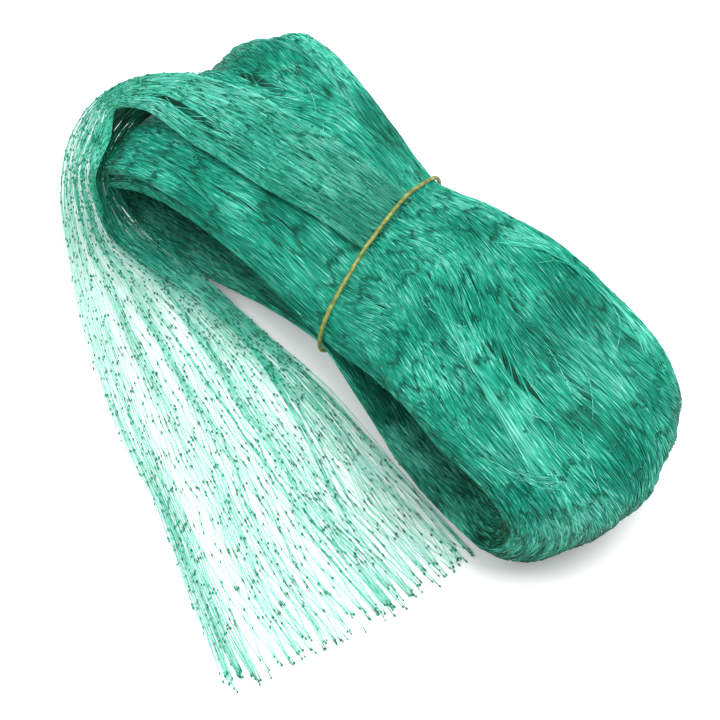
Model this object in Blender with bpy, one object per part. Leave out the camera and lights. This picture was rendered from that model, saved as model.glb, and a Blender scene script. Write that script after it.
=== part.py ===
"""A roll of bird netting: a long knotted net, gathered lengthwise and wound flat into a hank.

The hank is one soft ring of many turns. It lies on its flat side, with an eye at each end, and a thin
rubber band pinches it at the waist. The net's loose end is its outermost turn: it leaves the top of the
hank from under the band, lifts over the left end, turns down beside it and fans out on the ground.

+X runs along the hank to its right end, +Y to its far side and +Z up. The origin is the middle of the
whole part's footprint. Named sizes and tables are in millimetres, measured from the waist's middle on
the ground, and to_part turns them into metres from the origin.
"""

import math
from collections import namedtuple

import bmesh
import bpy
import numpy as np
from mathutils import Vector
from mathutils.bvhtree import BVHTree
from mathutils.geometry import convex_hull_2d

MM = 0.001
WAIST_X, WAIST_Y = -16.2, 68.7  # the waist's middle, from the middle of the footprint

# The hank, a row for each section across its turns, in order round the loop. outer is the face that
# looks out of the loop and inner the one that looks into it. near and far are its two edges, and
# their shifts say how far along X each edge lies from the middle. spread is 0 where the band pinches
# the turns to a thin-edged oval, and 1 where they lie side by side with upright edges.
Section = namedtuple(
    "Section", "place outer_x outer_z inner_x inner_z near_y far_y near_shift far_shift spread"
)
HANK = (
    Section("waist, top", 0, 60.5, 0, 35.6, -54, 58.5, 15, -17, 0),
    Section("top left, first", -46, 71, -42, 45, -56, 61, 14, -14, 0.4),
    Section("top left, second", -86, 79, -76, 55, -63, 62, 13, -12, 0.8),
    Section("top left, third", -122, 78, -104, 52, -68, 63, 10, -4, 1),
    Section("left shoulder", -146, 62, -122, 43, -71, 64, 8, 4, 1),
    Section("left turn", -156, 40, -133, 36, -70, 64, 8, 8, 1),
    Section("left heel", -147, 16, -124, 28, -66, 63, 8, 8, 1),
    Section("bottom left, third", -120, 2, -104, 24, -62, 64, 10, 0, 1),
    Section("bottom left, second", -80, 0, -74, 24, -57, 62, 12, -8, 0.9),
    Section("bottom left, first", -42, 4, -40, 29, -53, 59, 14, -14, 0.4),
    Section("waist, bottom", 0, 9, 0, 34.4, -54, 58.5, 15, -17, 0),
    Section("bottom right, first", 40, 4, 42, 28, -59, 58, 13, -14, 0.4),
    Section("bottom right, second", 80, 0, 80, 27, -66, 58, 8, -14, 0.9),
    Section("bottom right, third", 130, 0, 118, 31, -70, 52, 3, -14, 1),
    Section("right heel", 170, 8, 142, 38, -71, 50, -3, -20, 1),
    Section("right turn", 189, 42, 153, 46, -67, 49, -10, -22, 1),
    Section("right shoulder", 173, 71, 144, 55, -68, 50, -12, -16, 1),
    Section("top right, third", 128, 84, 114, 62, -70, 50, -6, -12, 1),
    Section("top right, second", 84, 83, 82, 60, -66, 54, 4, -14, 0.9),
    Section("top right, first", 40, 73, 42, 47, -58, 58, 13, -16, 0.4),
)
HANK_STATIONS = 64
HANK_POINTS = 60
OUTLINE_STEPS = 360  # points of a section's outline before it is spread over HANK_POINTS
EDGE_DETAIL = 1.4  # how much closer together the points lie on the two edges than on the faces
PRESSED_FLAT = 1.2  # what lies lower than this is pressed flat on the ground

# The lay of the turns: shallow waves that run round the loop and drift slowly across it.
Wave = namedtuple("Wave", "what lanes drift height phase")
LAY = (
    Wave("bundles of turns", 13, 1, 0.55, 0.0),
    Wave("broad swells", 5, -1, 0.8, 0.3),
    Wave("crossing turns", 8, 2, 0.45, 0.6),
)
LAY_AT_WAIST = 0.15  # share of the lay's height that the band leaves

# The layers of turns show as ridges along both upright edges, about three on each.
EDGE_LANES = 15  # as if such ridges ran on all round the section
EDGE_HEIGHT = 1.3
EDGE_STARTS = 0.55  # how far a surface has to face sideways to count as an edge

# Main folds of the outer turns on the upper side, as soft ridges and troughs along lines in plan.
Fold = namedtuple("Fold", "what start_x start_y end_x end_y width height")
FOLDS = (
    Fold("diagonal bundle", 30, -2, 107, -38, 7, 3.2),
    Fold("diagonal bundle, to the end", 107, -38, 176, -48, 8, 3.0),
    Fold("trough beyond it", 50, 6, 128, -20, 7, -2.8),
    Fold("trough before it", 46, -26, 120, -56, 6, -2.2),
    Fold("near lip", 48, -54, 130, -62, 6, 1.6),
    Fold("far hollow", 92, 22, 172, 12, 12, -3.0),
    Fold("far ridge", 60, 40, 140, 38, 8, 1.6),
    Fold("end crown", 128, -8, 182, 2, 11, 1.6),
    Fold("hollow beside the strip", -24, -30, -122, -62, 6, -2.2),
    Fold("left body", -30, -46, -128, -70, 7, 1.8),
    Fold("far lobe", -50, 36, -165, 34, 18, 2.4),
    Fold("lobe step", -60, 12, -160, 12, 7, -3.2),
)
FOLD_TAPER = 14  # length over which a fold rises and dies away
FOLDS_FROM, FOLDS_FULL = 46, 56  # heights between which the folds fade in, above the eyes

# The loose end, a row for each place along it, as the two edges of the strip: the inner edge, on the
# inside of its bend, and the outer one. crown is how far its middle stands over its edges, and laid is
# 1 where it is laid on the hank's top and takes its height from it.
Row = namedtuple("Row", "place inner_x inner_y inner_z outer_x outer_y outer_z crown laid")
STRIP = (
    Row("under the band", 6, -13, 63, -6, 30, 60, 0, 1),
    Row("past the band", -22, -19, 70, -32, 24, 70, 1, 1),
    Row("top", -56, -31, 80, -68, 14, 80, 1.5, 1),
    Row("towards the lip", -92, -40, 85, -102, 4, 86, 2, 1),
    Row("before the lip", -121, -45, 87, -124, -13, 89, 3, 0),
    Row("lip", -135, -52, 86, -140, -35, 91, 3, 0),
    Row("over the lip", -141, -56, 80, -150, -56, 84, 3, 0),
    Row("turn", -134, -65, 73, -153, -72, 70, 3, 0),
    Row("below the turn", -131, -78, 61, -149, -85, 55, 3, 0),
    Row("slope", -133, -79, 40, -138, -98, 37, 3, 0),
    Row("foot of the slope", -126, -75, 9, -120, -110, 20, 2, 0),
    Row("touching down", -98, -64, 0, -97, -123, 7, 1, 0),
    Row("start of the fan", -74, -60, 0, -70, -135, 0, 0, 0),
    Row("fan", -36, -57, 0, -28, -152, 0, 0, 0),
    Row("fan, middle", 14, -57, 0, 18, -166, 0, 0, 0),
    Row("fan, wide", 72, -62, 0, 62, -184, 0, 0, 0),
    Row("hem", 134, -67, 0, 110, -202, 0, 0, 0),
)
STRIP_SAMPLES = 600  # points along the strip's middle, on which its rows are spaced out
SHEET_THICKNESS = 1.6
SHEET_STRANDS = 20  # bundles of strands side by side across the strip
SHEET_BARS = 22  # rows of knots along it
KNOT_LENGTH = 4.5
SHEET_GAP = 1.0  # between the strip's underside and the hank, before the facets of both
ABOVE_ALL = 200  # a height over the whole part, to look down from
SMALLEST_GAP = 4.2  # a narrower gap between bundles is left closed
BUNDLE_WIDTH = 1.7  # the narrowest that a bundle gets beside a gap
GAP_SHARE = 0.66  # of a lane's width that half its gap takes
GAP_UNEVEN = 0.3
BUNDLE_WANDER = 0.3  # how far the bundles stray from even lanes, as a share of a lane
OPEN_FROM = 0.36  # share of the strip's length at which its gaps start
SLIT_LANE, SLIT_FROM, SLIT_TO, SLIT_HALF = 6, 0.19, 0.30, 2.4  # the long slit before the lip
HEM_BULGE = 7.0
HEM_POINT = 7.0
HEM_RAGGED = 5.0

BAND_TURN = math.radians(15.6)  # the band's plane, turned about Z from the YZ plane
BAND_MIDDLE_Z = 35
BAND_THICKNESS = 2.1
BAND_GAP = 0.3
BAND_POINTS = 64
BAND_RAYS = 120
STRIP_FACES = 0.3  # rays that point up at least this much can meet the strip under the band

Finish = namedtuple("Finish", "material color roughness")
FINISHES = {
    "netting_hank": Finish("green nylon netting", (0.045, 0.40, 0.27, 1.0), 0.45),
    "loose_end": Finish("pale green nylon netting", (0.33, 0.80, 0.62, 1.0), 0.45),
    "rubber_band": Finish("natural rubber", (0.42, 0.40, 0.12, 1.0), 0.55),
}


def clear_scene():
    for obj in list(bpy.data.objects):
        bpy.data.objects.remove(obj, do_unlink=True)


def numbers(table):
    """A table's rows as an array, without the words in their first column."""
    return np.array([row[1:] for row in table], float)


def curve_through(rows, places, closed):
    """Rows of numbers at each place along a smooth curve through the given rows."""
    count = len(rows)
    first = np.clip(np.floor(places).astype(int), 0, count - 1 if closed else count - 2)
    along = (places - first)[:, None]
    around = [first - 1, first, first + 1, first + 2]
    if closed:
        a, b, c, d = (rows[i % count] for i in around)
    else:
        a, b, c, d = (rows[np.clip(i, 0, count - 1)] for i in around)
    linear = (c - a) * along
    square = (2 * a - 5 * b + 4 * c - d) * along**2
    cube = (3 * b - a - 3 * c + d) * along**3
    return 0.5 * (2 * b + linear + square + cube)


def spread_evenly(points, count, density):
    """Points at even steps round a closed outline, closer together where density is greater."""
    ring = np.vstack([points, points[:1]])
    steps = np.linalg.norm(np.diff(ring, axis=0), axis=1) * density
    reach = np.concatenate([[0], np.cumsum(steps)])
    wanted = np.arange(count) / count * reach[-1]
    return np.stack([np.interp(wanted, reach, ring[:, axis]) for axis in range(3)], axis=1)


def section_outline(at):
    """One section across the turns: a rounded rectangle that runs far edge, outer face, near edge."""
    squareness = 2.0 + 0.7 * at.spread
    edge_level = 0.04 + 0.40 * at.spread
    angle = np.arange(OUTLINE_STEPS) / OUTLINE_STEPS * 2 * math.pi
    across = np.sign(np.cos(angle)) * np.abs(np.cos(angle)) ** (2 / squareness)
    through = np.abs(np.sin(angle)) ** (2 / squareness)
    towards_outer = edge_level + (1 - edge_level) * through
    towards_inner = edge_level * (1 - through)
    outward = np.where(np.sin(angle) > 0, towards_outer, towards_inner)
    shift = np.where(across < 0, at.near_shift, at.far_shift) * np.abs(across) ** 1.6
    x = at.inner_x + (at.outer_x - at.inner_x) * outward + shift
    y = (at.near_y + at.far_y) / 2 + across * (at.far_y - at.near_y) / 2
    z = at.inner_z + (at.outer_z - at.inner_z) * outward
    density = 1 + EDGE_DETAIL * np.abs(across) ** 8
    return spread_evenly(np.stack([x, y, z], axis=1), HANK_POINTS, density)


def outward_normals(grid):
    """Unit normals of a grid of points that closes both ways."""
    along = np.roll(grid, -1, axis=0) - np.roll(grid, 1, axis=0)
    around = np.roll(grid, -1, axis=1) - np.roll(grid, 1, axis=1)
    normals = np.cross(along, around)
    return normals / np.linalg.norm(normals, axis=2, keepdims=True)


def lay_height(spread):
    """Height of the lay at each station and point, next to none where the band presses on it."""
    station = (np.arange(HANK_STATIONS) / HANK_STATIONS)[:, None]
    point = (np.arange(HANK_POINTS) / HANK_POINTS)[None, :]
    height = np.zeros((HANK_STATIONS, HANK_POINTS))
    for wave in LAY:
        turns = wave.lanes * point + wave.drift * station + wave.phase
        height += wave.height * np.sin(2 * math.pi * turns)
    return height * (LAY_AT_WAIST + (1 - LAY_AT_WAIST) * spread[:, None])


def edge_height(normals, spread):
    """Ridges along the two upright edges, one for each layer of turns."""
    point = (np.arange(HANK_POINTS) / HANK_POINTS)[None, :]
    sideways = np.clip(np.abs(normals[:, :, 1]) - EDGE_STARTS, 0, 1) / (1 - EDGE_STARTS)
    wave = np.cos(2 * math.pi * EDGE_LANES * point)
    return EDGE_HEIGHT * wave * sideways * spread[:, None]


def fold_height(grid, normals):
    """Ridges and troughs of the main folds, on faces that look up and lie above the eyes."""
    height = np.zeros(grid.shape[:2])
    plan = grid[:, :, :2]
    for fold in FOLDS:
        start = np.array([fold.start_x, fold.start_y], float)
        line = np.array([fold.end_x, fold.end_y], float) - start
        length = np.linalg.norm(line)
        line /= length
        along = (plan - start) @ line
        aside = (plan - start) @ np.array([-line[1], line[0]])
        rising = np.clip(along / FOLD_TAPER, 0, 1)
        dying = np.clip((length - along) / FOLD_TAPER + 1, 0, 1)
        height += fold.height * rising * dying * np.exp(-((aside / fold.width) ** 2))
    facing_up = np.clip(normals[:, :, 2] * 1.6, 0, 1)
    above_eyes = np.clip((grid[:, :, 2] - FOLDS_FROM) / (FOLDS_FULL - FOLDS_FROM), 0, 1)
    return height * facing_up * above_eyes


def hank_grid():
    """Points of the hank, a ring for each station round the loop."""
    rows = numbers(HANK)
    places = np.arange(HANK_STATIONS) / HANK_STATIONS * len(rows)
    stations = curve_through(rows, places, closed=True)
    spread = np.clip(stations[:, -1], 0, 1)
    stations[:, -1] = spread
    grid = np.array([section_outline(Section("between", *row)) for row in stations])
    normals = outward_normals(grid)
    height = lay_height(spread) + edge_height(normals, spread) + fold_height(grid, normals)
    grid = grid + normals * height[:, :, None]
    grid[:, :, 2] = np.where(grid[:, :, 2] < PRESSED_FLAT, 0, grid[:, :, 2])
    return grid


def to_part(points):
    """Millimetres from the waist to metres from the part's origin."""
    return (np.asarray(points, float) + np.array([WAIST_X, WAIST_Y, 0])) * MM


def new_object(name, data):
    obj = bpy.data.objects.new(name, data)
    bpy.context.scene.collection.objects.link(obj)
    finish = FINISHES[name]
    material = bpy.data.materials.new(finish.material)
    material.use_nodes = True
    shader = material.node_tree.nodes["Principled BSDF"]
    shader.inputs["Base Color"].default_value = finish.color
    shader.inputs["Roughness"].default_value = finish.roughness
    shader.inputs["Metallic"].default_value = 0.0
    obj.data.materials.append(material)
    return obj


def make_hank():
    """The wound turns, as one ring: each section is a loop of points, joined to the next by faces."""
    bm = bmesh.new()
    rings = [[bm.verts.new(point) for point in ring] for ring in to_part(hank_grid())]
    for here, after in zip(rings, rings[1:] + rings[:1]):
        for i in range(HANK_POINTS):
            j = (i + 1) % HANK_POINTS
            bm.faces.new((here[i], after[i], after[j], here[j]))
    bmesh.ops.recalc_face_normals(bm, faces=bm.faces)
    mesh = bpy.data.meshes.new("netting_hank")
    bm.to_mesh(mesh)
    bm.free()
    mesh.shade_smooth()
    return new_object("netting_hank", mesh)


def surface_of(obj):
    """A tree for casting rays at an object, as it is evaluated."""
    bpy.context.view_layer.update()
    return BVHTree.FromObject(obj, bpy.context.evaluated_depsgraph_get())


def uneven(a, b):
    """A smooth value from -1 to 1 that doesn't repeat within the part, from two counts."""
    return math.sin(1.9 * a + 0.7 * b + 0.4) * 0.6 + math.sin(0.8 * a - 1.7 * b + 2.1) * 0.4


def strip_rows():
    """The strip's rows, two for each knot, and the share of its length at which each lies."""
    rows = numbers(STRIP)
    fine = curve_through(rows, np.linspace(0, len(rows) - 1, STRIP_SAMPLES), closed=False)
    middle = (fine[:, 0:3] + fine[:, 3:6]) / 2
    steps = np.linalg.norm(np.diff(middle, axis=0), axis=1)
    reach = np.concatenate([[0], np.cumsum(steps)])
    bar = (reach[-1] - KNOT_LENGTH / 2) / SHEET_BARS
    wanted = [0.5 * KNOT_LENGTH]
    for knot in range(1, SHEET_BARS + 1):
        wanted += [knot * bar - KNOT_LENGTH / 2, knot * bar + KNOT_LENGTH / 2]
    sampled = [np.interp(wanted, reach, column) for column in fine.T]
    return np.stack(sampled, axis=1), np.array(wanted) / reach[-1]


def strip_width(row):
    return np.linalg.norm(row[3:6] - row[0:3])


def lane_step(lane_width):
    """How many bundles move together, so that the gaps between such groups are wide enough."""
    for step in (1, 2, 4):
        if 2 * GAP_SHARE * step * lane_width >= SMALLEST_GAP:
            return step
    return 0


def half_gap(lane, knot, share, lane_width):
    """Half the width of the gap at a boundary between two bundles, 0 where they are joined."""
    if lane in (0, SHEET_STRANDS):
        return 0.0
    if share < OPEN_FROM:
        return SLIT_HALF if lane == SLIT_LANE and SLIT_FROM < share < SLIT_TO else 0.0
    step = lane_step(lane_width)
    if not step or lane % step or (lane // step + knot) % 2:
        return 0.0
    widest = step * lane_width - BUNDLE_WIDTH
    wanted = GAP_SHARE * step * lane_width * (1 + GAP_UNEVEN * uneven(lane, knot))
    return min(widest, wanted)


def wandering(lane, knot):
    """A boundary's place across the strip, from 0 at its inner edge to 1 at its outer one."""
    if lane in (0, SHEET_STRANDS):
        return lane / SHEET_STRANDS
    return (lane + BUNDLE_WANDER * uneven(0.4 * lane, 0.6 * knot + 1)) / SHEET_STRANDS


def strip_point(row, across, hank_surface):
    """The place of a point of the strip's underside."""
    at = Row("between", *row)
    inner, outer = row[0:3], row[3:6]
    point = inner + (outer - inner) * across
    bulge = at.crown * 4 * across * (1 - across)
    point[2] += bulge
    if at.laid > 0:
        above = Vector(to_part((point[0], point[1], ABOVE_ALL)))
        hit = hank_surface.ray_cast(above, Vector((0, 0, -1)))[0]
        if hit is not None:
            lying = hit.z / MM + SHEET_GAP + bulge
            point[2] = max(lying, lying * at.laid + point[2] * (1 - at.laid))
    point[2] = max(point[2], 0)
    return point


def hem_reach(lane, gap):
    """How far beyond the last row the ragged hem reaches: into a point where two bundles meet."""
    across = lane / SHEET_STRANDS
    point = 0 if gap else HEM_POINT
    return HEM_BULGE * 4 * across * (1 - across) + point + HEM_RAGGED * uneven(lane, 3)


def make_loose_end(hank_surface):
    """The net's loose end: one sheet of strand bundles that part and meet again at the knots."""
    rows, shares = strip_rows()
    bm = bmesh.new()
    last = len(rows) - 1
    before = None
    for j, row in enumerate(rows):
        knot = (j + 1) // 2
        first_of_knot = max(2 * knot - 1, 0)
        share = shares[first_of_knot]
        lane_width = strip_width(rows[first_of_knot]) / SHEET_STRANDS
        travel = rows[j] - rows[max(j - 1, 0)]
        onward = travel[0:3] + travel[3:6]
        sides = []
        for lane in range(SHEET_STRANDS + 1):
            gap = half_gap(lane, knot, share, lane_width)
            pair = []
            for side in (-1, 1) if gap else (0,):
                across = wandering(lane, knot) + side * gap / strip_width(row)
                point = strip_point(row, across, hank_surface)
                if j == last:
                    point += onward / np.linalg.norm(onward) * hem_reach(lane, gap)
                pair.append(bm.verts.new(to_part(point)))
            sides.append((pair[0], pair[-1]))
        if before:
            for lane in range(SHEET_STRANDS):
                near, far = sides[lane][1], sides[lane + 1][0]
                bm.faces.new((before[lane][1], before[lane + 1][0], far, near))
        before = sides
    mesh = bpy.data.meshes.new("loose_end")
    bm.to_mesh(mesh)
    bm.free()
    obj = new_object("loose_end", mesh)
    thicken = obj.modifiers.new("thickness", "SOLIDIFY")
    thicken.thickness = SHEET_THICKNESS * MM
    thicken.offset = 1.0
    return obj


def taut_outline(middle, across, up, surfaces):
    """The shortest loop round the waist in the band's plane, as distances across and up."""
    beside = across.cross(up)
    edges = [beside * (BAND_THICKNESS / 2 * MM * side) for side in (-1, 0, 1)]
    touched = []
    for i in range(BAND_RAYS):
        angle = 2 * math.pi * i / BAND_RAYS
        out = across * math.cos(angle) + up * math.sin(angle)
        facing = surfaces if out.z > STRIP_FACES else surfaces[:1]
        starts = [middle + out * (ABOVE_ALL * MM) + edge for edge in edges]
        hits = [tree.ray_cast(start, -out)[0] for tree in facing for start in starts]
        reaches = [(hit - middle).dot(out) for hit in hits if hit is not None]
        if reaches:
            touched.append(max(reaches) * Vector((math.cos(angle), math.sin(angle))))
    return np.array([touched[i] for i in convex_hull_2d(touched)])


def make_band(surfaces):
    """The rubber band, a round cord stretched over the waist and over the strip's root."""
    middle = Vector(to_part((0, 0, BAND_MIDDLE_Z)))
    across = Vector((-math.sin(BAND_TURN), math.cos(BAND_TURN), 0))
    up = Vector((0, 0, 1))
    hull = taut_outline(middle, across, up, surfaces)
    flat = np.column_stack([hull, np.zeros(len(hull))])
    ring = spread_evenly(flat, BAND_POINTS, np.ones(len(hull)))[:, :2]
    tangent = np.roll(ring, -1, axis=0) - np.roll(ring, 1, axis=0)
    outward = np.column_stack([tangent[:, 1], -tangent[:, 0]])
    outward /= np.linalg.norm(outward, axis=1, keepdims=True)
    outward *= np.sign((outward * ring).sum(axis=1, keepdims=True))
    ring += outward * (BAND_THICKNESS / 2 + BAND_GAP) * MM
    curve = bpy.data.curves.new("rubber_band", "CURVE")
    curve.dimensions = "3D"
    curve.bevel_depth = BAND_THICKNESS / 2 * MM
    curve.bevel_resolution = 2
    spline = curve.splines.new("POLY")
    spline.points.add(BAND_POINTS - 1)
    for point, (side, height) in zip(spline.points, ring):
        point.co = (*(middle + across * side + up * height), 1)
    spline.use_cyclic_u = True
    return new_object("rubber_band", curve)


def main():
    clear_scene()
    hank_surface = surface_of(make_hank())
    loose_end = make_loose_end(hank_surface)
    make_band([hank_surface, surface_of(loose_end)])


main()
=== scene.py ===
# %% [markdown]
# # A roll of bird netting
# Bird netting is knotted from thin green nylon. This one is four metres wide and ten long. It was
# gathered lengthwise into a hank of strands, wound flat, and tied at the waist with a rubber band.
# Its loose end comes off the top of the hank and fans out on the table.
#
# The solids come from the CAD frame, which fixes every size and place. The cells below only dress
# them: they draw the threads and knots, and give them their nylon.

# %% Load the frame
import math
from collections import namedtuple

import bpy
import numpy as np
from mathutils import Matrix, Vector
from mathutils.bvhtree import BVHTree
from mathutils.geometry import convex_hull_2d


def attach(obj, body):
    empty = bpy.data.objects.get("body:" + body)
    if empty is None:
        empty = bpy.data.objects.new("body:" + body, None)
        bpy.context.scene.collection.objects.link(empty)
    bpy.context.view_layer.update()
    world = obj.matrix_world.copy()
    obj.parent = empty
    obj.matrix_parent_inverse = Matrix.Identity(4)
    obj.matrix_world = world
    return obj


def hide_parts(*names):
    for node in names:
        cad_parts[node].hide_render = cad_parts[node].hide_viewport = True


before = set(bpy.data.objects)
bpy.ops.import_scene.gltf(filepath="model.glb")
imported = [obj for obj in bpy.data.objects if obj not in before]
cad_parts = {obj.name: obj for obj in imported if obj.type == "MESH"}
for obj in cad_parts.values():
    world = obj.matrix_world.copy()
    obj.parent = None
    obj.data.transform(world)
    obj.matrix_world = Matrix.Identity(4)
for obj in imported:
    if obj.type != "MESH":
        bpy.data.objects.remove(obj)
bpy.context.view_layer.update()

print("nodes:", ", ".join(sorted(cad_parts)))

# %% [markdown]
# ## Units and places
# The tables below are in millimetres, measured from the waist's middle on the ground, as whoever
# winds the hank would measure it. One function turns them into the frame's metres.

# %% Units and places
MM = 0.001
TURN = 2 * math.pi
WAIST = np.array([-16.2, 68.7, 0.0])  # the waist's middle, from the middle of the footprint


def to_frame(points):
    return (np.asarray(points, float) + WAIST) * MM


def add_object(name, data):
    thing = bpy.data.objects.new(name, data)
    bpy.context.scene.collection.objects.link(thing)
    return thing


def aim(thing, place, direction):
    """Sets a camera or a light at a place in metres, looking along a direction."""
    thing.location = place
    thing.rotation_mode = "QUATERNION"
    thing.rotation_quaternion = direction.to_track_quat("-Z", "Y")


print("the waist's middle lies at", to_frame((0, 0, 0)), "m")

# %% [markdown]
# ## Camera
# The camera looks down from above the right end's near side, so that the top of the hank, its near
# edge and the loose end all show. A long lens, well back, keeps the shape nearly free of perspective.

# %% Camera
CAMERA_TURN = math.radians(47)
CAMERA_RISE = math.radians(55)
CAMERA_AWAY = 0.95
LOOKED_AT = Vector((0.00282, 0.03758, 0.0))
LENS = 91.35

away = Vector((
    math.sin(CAMERA_TURN) * math.cos(CAMERA_RISE),
    -math.cos(CAMERA_TURN) * math.cos(CAMERA_RISE),
    math.sin(CAMERA_RISE),
))
camera = add_object("camera", bpy.data.cameras.new("camera"))
camera.data.lens = LENS
aim(camera, LOOKED_AT + away * CAMERA_AWAY, -away)
bpy.context.scene.camera = camera
print("the camera stands", CAMERA_AWAY, "m off")

# %% [markdown]
# ## Nodes and colours
# Colours are written as people pick them, as sRGB hex, and Blender wants them linear. One small
# function adds any node, of a material or of Geometry Nodes, with its settings and its links.


# %% Nodes and colours
def linear(colour):
    """An sRGB hex colour as linear RGBA."""
    channels = [int(colour[i : i + 2], 16) / 255 for i in (1, 3, 5)]
    return (*[c / 12.92 if c <= 0.04045 else ((c + 0.055) / 1.055) ** 2.4 for c in channels], 1.0)


def add_node(tree, kind, settings=None, inputs=None, stops=()):
    """Adds a node. An input is a value, a hex colour, a socket to link, or a node, for its first output.

    A colour ramp also has stops, as pairs of place and hex colour.
    """
    node = tree.nodes.new(kind)
    for name, value in (settings or {}).items():
        setattr(node, name, value)
    for name, value in (inputs or {}).items():
        if isinstance(value, bpy.types.Node):
            value = value.outputs[0]
        if isinstance(value, bpy.types.NodeSocket):
            tree.links.new(value, node.inputs[name])
        else:
            is_colour = isinstance(value, str) and value.startswith("#")
            node.inputs[name].default_value = linear(value) if is_colour else value
    if stops:
        while len(node.color_ramp.elements) < len(stops):
            node.color_ramp.elements.new(0.5)
        for stop, (place, colour) in zip(node.color_ramp.elements, stops):
            stop.position = place
            stop.color = linear(colour)
    return node


def new_material(name, **finish):
    """A material, its tree and its Principled shader, with the numbers that are the same all over."""
    material = bpy.data.materials.new(name)
    material.use_nodes = True
    shader = material.node_tree.nodes["Principled BSDF"]
    for label, value in finish.items():
        shader.inputs[label.replace("_", " ")].default_value = value
    return material, material.node_tree, shader


print("mid grey, #808080, is", round(linear("#808080")[0], 3), "in linear light")

# %% [markdown]
# ## Studio
# A plain white table and soft light: a big soft box high behind the hank's right end, a weaker one
# from the near left, and an even white surround that fills the shade. The table top glows a little,
# so that it stays white beside the lit hank.

# %% Studio
LIGHTS = (  # name, place in metres, width, watts
    ("soft_box", (0.3, 0.3, 1.25), 1.0, 20.0),
    ("fill", (-0.7, -0.7, 0.9), 0.9, 7.0),
)
SURROUND = 0.45
WHITE = (1, 1, 1, 1)
FLOOR_HALF = 6.0
FLOOR_GLOW = 0.17

for name, place, width, watts in LIGHTS:
    lamp = bpy.data.lights.new(name, "AREA")
    lamp.size = width
    lamp.energy = watts
    aim(add_object(name, lamp), place, LOOKED_AT - Vector(place))

world = bpy.data.worlds.new("surround")
bpy.context.scene.world = world
world.use_nodes = True
world.node_tree.nodes["Background"].inputs["Color"].default_value = WHITE
world.node_tree.nodes["Background"].inputs["Strength"].default_value = SURROUND
bpy.context.scene.view_settings.view_transform = "Standard"

floor_corners = [(x * FLOOR_HALF, y * FLOOR_HALF, 0) for x, y in ((-1, -1), (1, -1), (1, 1), (-1, 1))]
floor_mesh = bpy.data.meshes.new("table_top")
floor_mesh.from_pydata(floor_corners, [], [(0, 1, 2, 3)])
laminate, _, _ = new_material(
    "matt white laminate",
    Base_Color=linear("#f7f8f8"),
    Roughness=0.9,
    Emission_Color=WHITE,
    Emission_Strength=FLOOR_GLOW,
)
floor_mesh.materials.append(laminate)
floor = add_object("table_top", floor_mesh)
print(len(LIGHTS), "lights over a table top of", 2 * FLOOR_HALF, "m")

# %% [markdown]
# ## The wound form
# All turns together make one soft ring: flat, with an eye at each end, and pinched at the waist. Its
# form repeats the table of the CAD source, a row for each section across the turns, in order round the
# loop. A smooth curve runs through the rows of a table, so that many sections come from a few.

# %% Sections of the ring
Section = namedtuple(
    "Section", "outer_x outer_z inner_x inner_z near_y far_y near_shift far_shift spread"
)
HANK = np.array((  # the fields of a section, row by row
    (0, 60.5, 0, 35.6, -54, 58.5, 15, -17, 0),  # waist, top
    (-46, 71, -42, 45, -56, 61, 14, -14, 0.4),
    (-86, 79, -76, 55, -63, 62, 13, -12, 0.8),
    (-122, 78, -104, 52, -68, 63, 10, -4, 1),
    (-146, 62, -122, 43, -71, 64, 8, 4, 1),  # left shoulder
    (-156, 40, -133, 36, -70, 64, 8, 8, 1),
    (-147, 16, -124, 28, -66, 63, 8, 8, 1),
    (-120, 2, -104, 24, -62, 64, 10, 0, 1),
    (-80, 0, -74, 24, -57, 62, 12, -8, 0.9),
    (-42, 4, -40, 29, -53, 59, 14, -14, 0.4),
    (0, 9, 0, 34.4, -54, 58.5, 15, -17, 0),  # waist, bottom
    (40, 4, 42, 28, -59, 58, 13, -14, 0.4),
    (80, 0, 80, 27, -66, 58, 8, -14, 0.9),
    (130, 0, 118, 31, -70, 52, 3, -14, 1),
    (170, 8, 142, 38, -71, 50, -3, -20, 1),  # right heel
    (189, 42, 153, 46, -67, 49, -10, -22, 1),
    (173, 71, 144, 55, -68, 50, -12, -16, 1),
    (128, 84, 114, 62, -70, 50, -6, -12, 1),
    (84, 83, 82, 60, -66, 54, 4, -14, 0.9),
    (40, 73, 42, 47, -58, 58, 13, -16, 0.4),
), float)


def curve_through(rows, places, closed):
    """Rows of numbers at each place along a smooth curve through the given rows."""
    count = len(rows)
    first = np.clip(np.floor(places).astype(int), 0, count - 1 if closed else count - 2)
    along = (places - first)[:, None]
    around = [first - 1, first, first + 1, first + 2]
    if closed:
        a, b, c, d = (rows[i % count] for i in around)
    else:
        a, b, c, d = (rows[np.clip(i, 0, count - 1)] for i in around)
    linear_part = (c - a) * along
    square = (2 * a - 5 * b + 4 * c - d) * along**2
    cube = (3 * b - a - 3 * c + d) * along**3
    return 0.5 * (2 * b + linear_part + square + cube)


print(len(HANK), "sections, the widest", np.ptp(HANK[:, 4:6], axis=1).max(), "mm across")

# %% [markdown]
# Each section is a rounded rectangle, an ellipse at the waist and squarer where the turns spread. Its
# points lie closer together at its two edges, where the turn is tightest. A fine grid of them, round
# the loop and round the section, is the surface that carries the threads.

# %% The ring's surface
STATIONS = 240
POINTS = 240
OUTLINE_STEPS = 720
SQUARE_AT_WAIST, SQUARER = 2.0, 0.7
EDGE_AT_WAIST, EDGE_LOWER = 0.04, 0.40  # how high the edges lie between the outer and the inner face
SHIFT_EASE, EDGE_EASE = 1.6, 8
EDGE_DETAIL = 1.4


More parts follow.
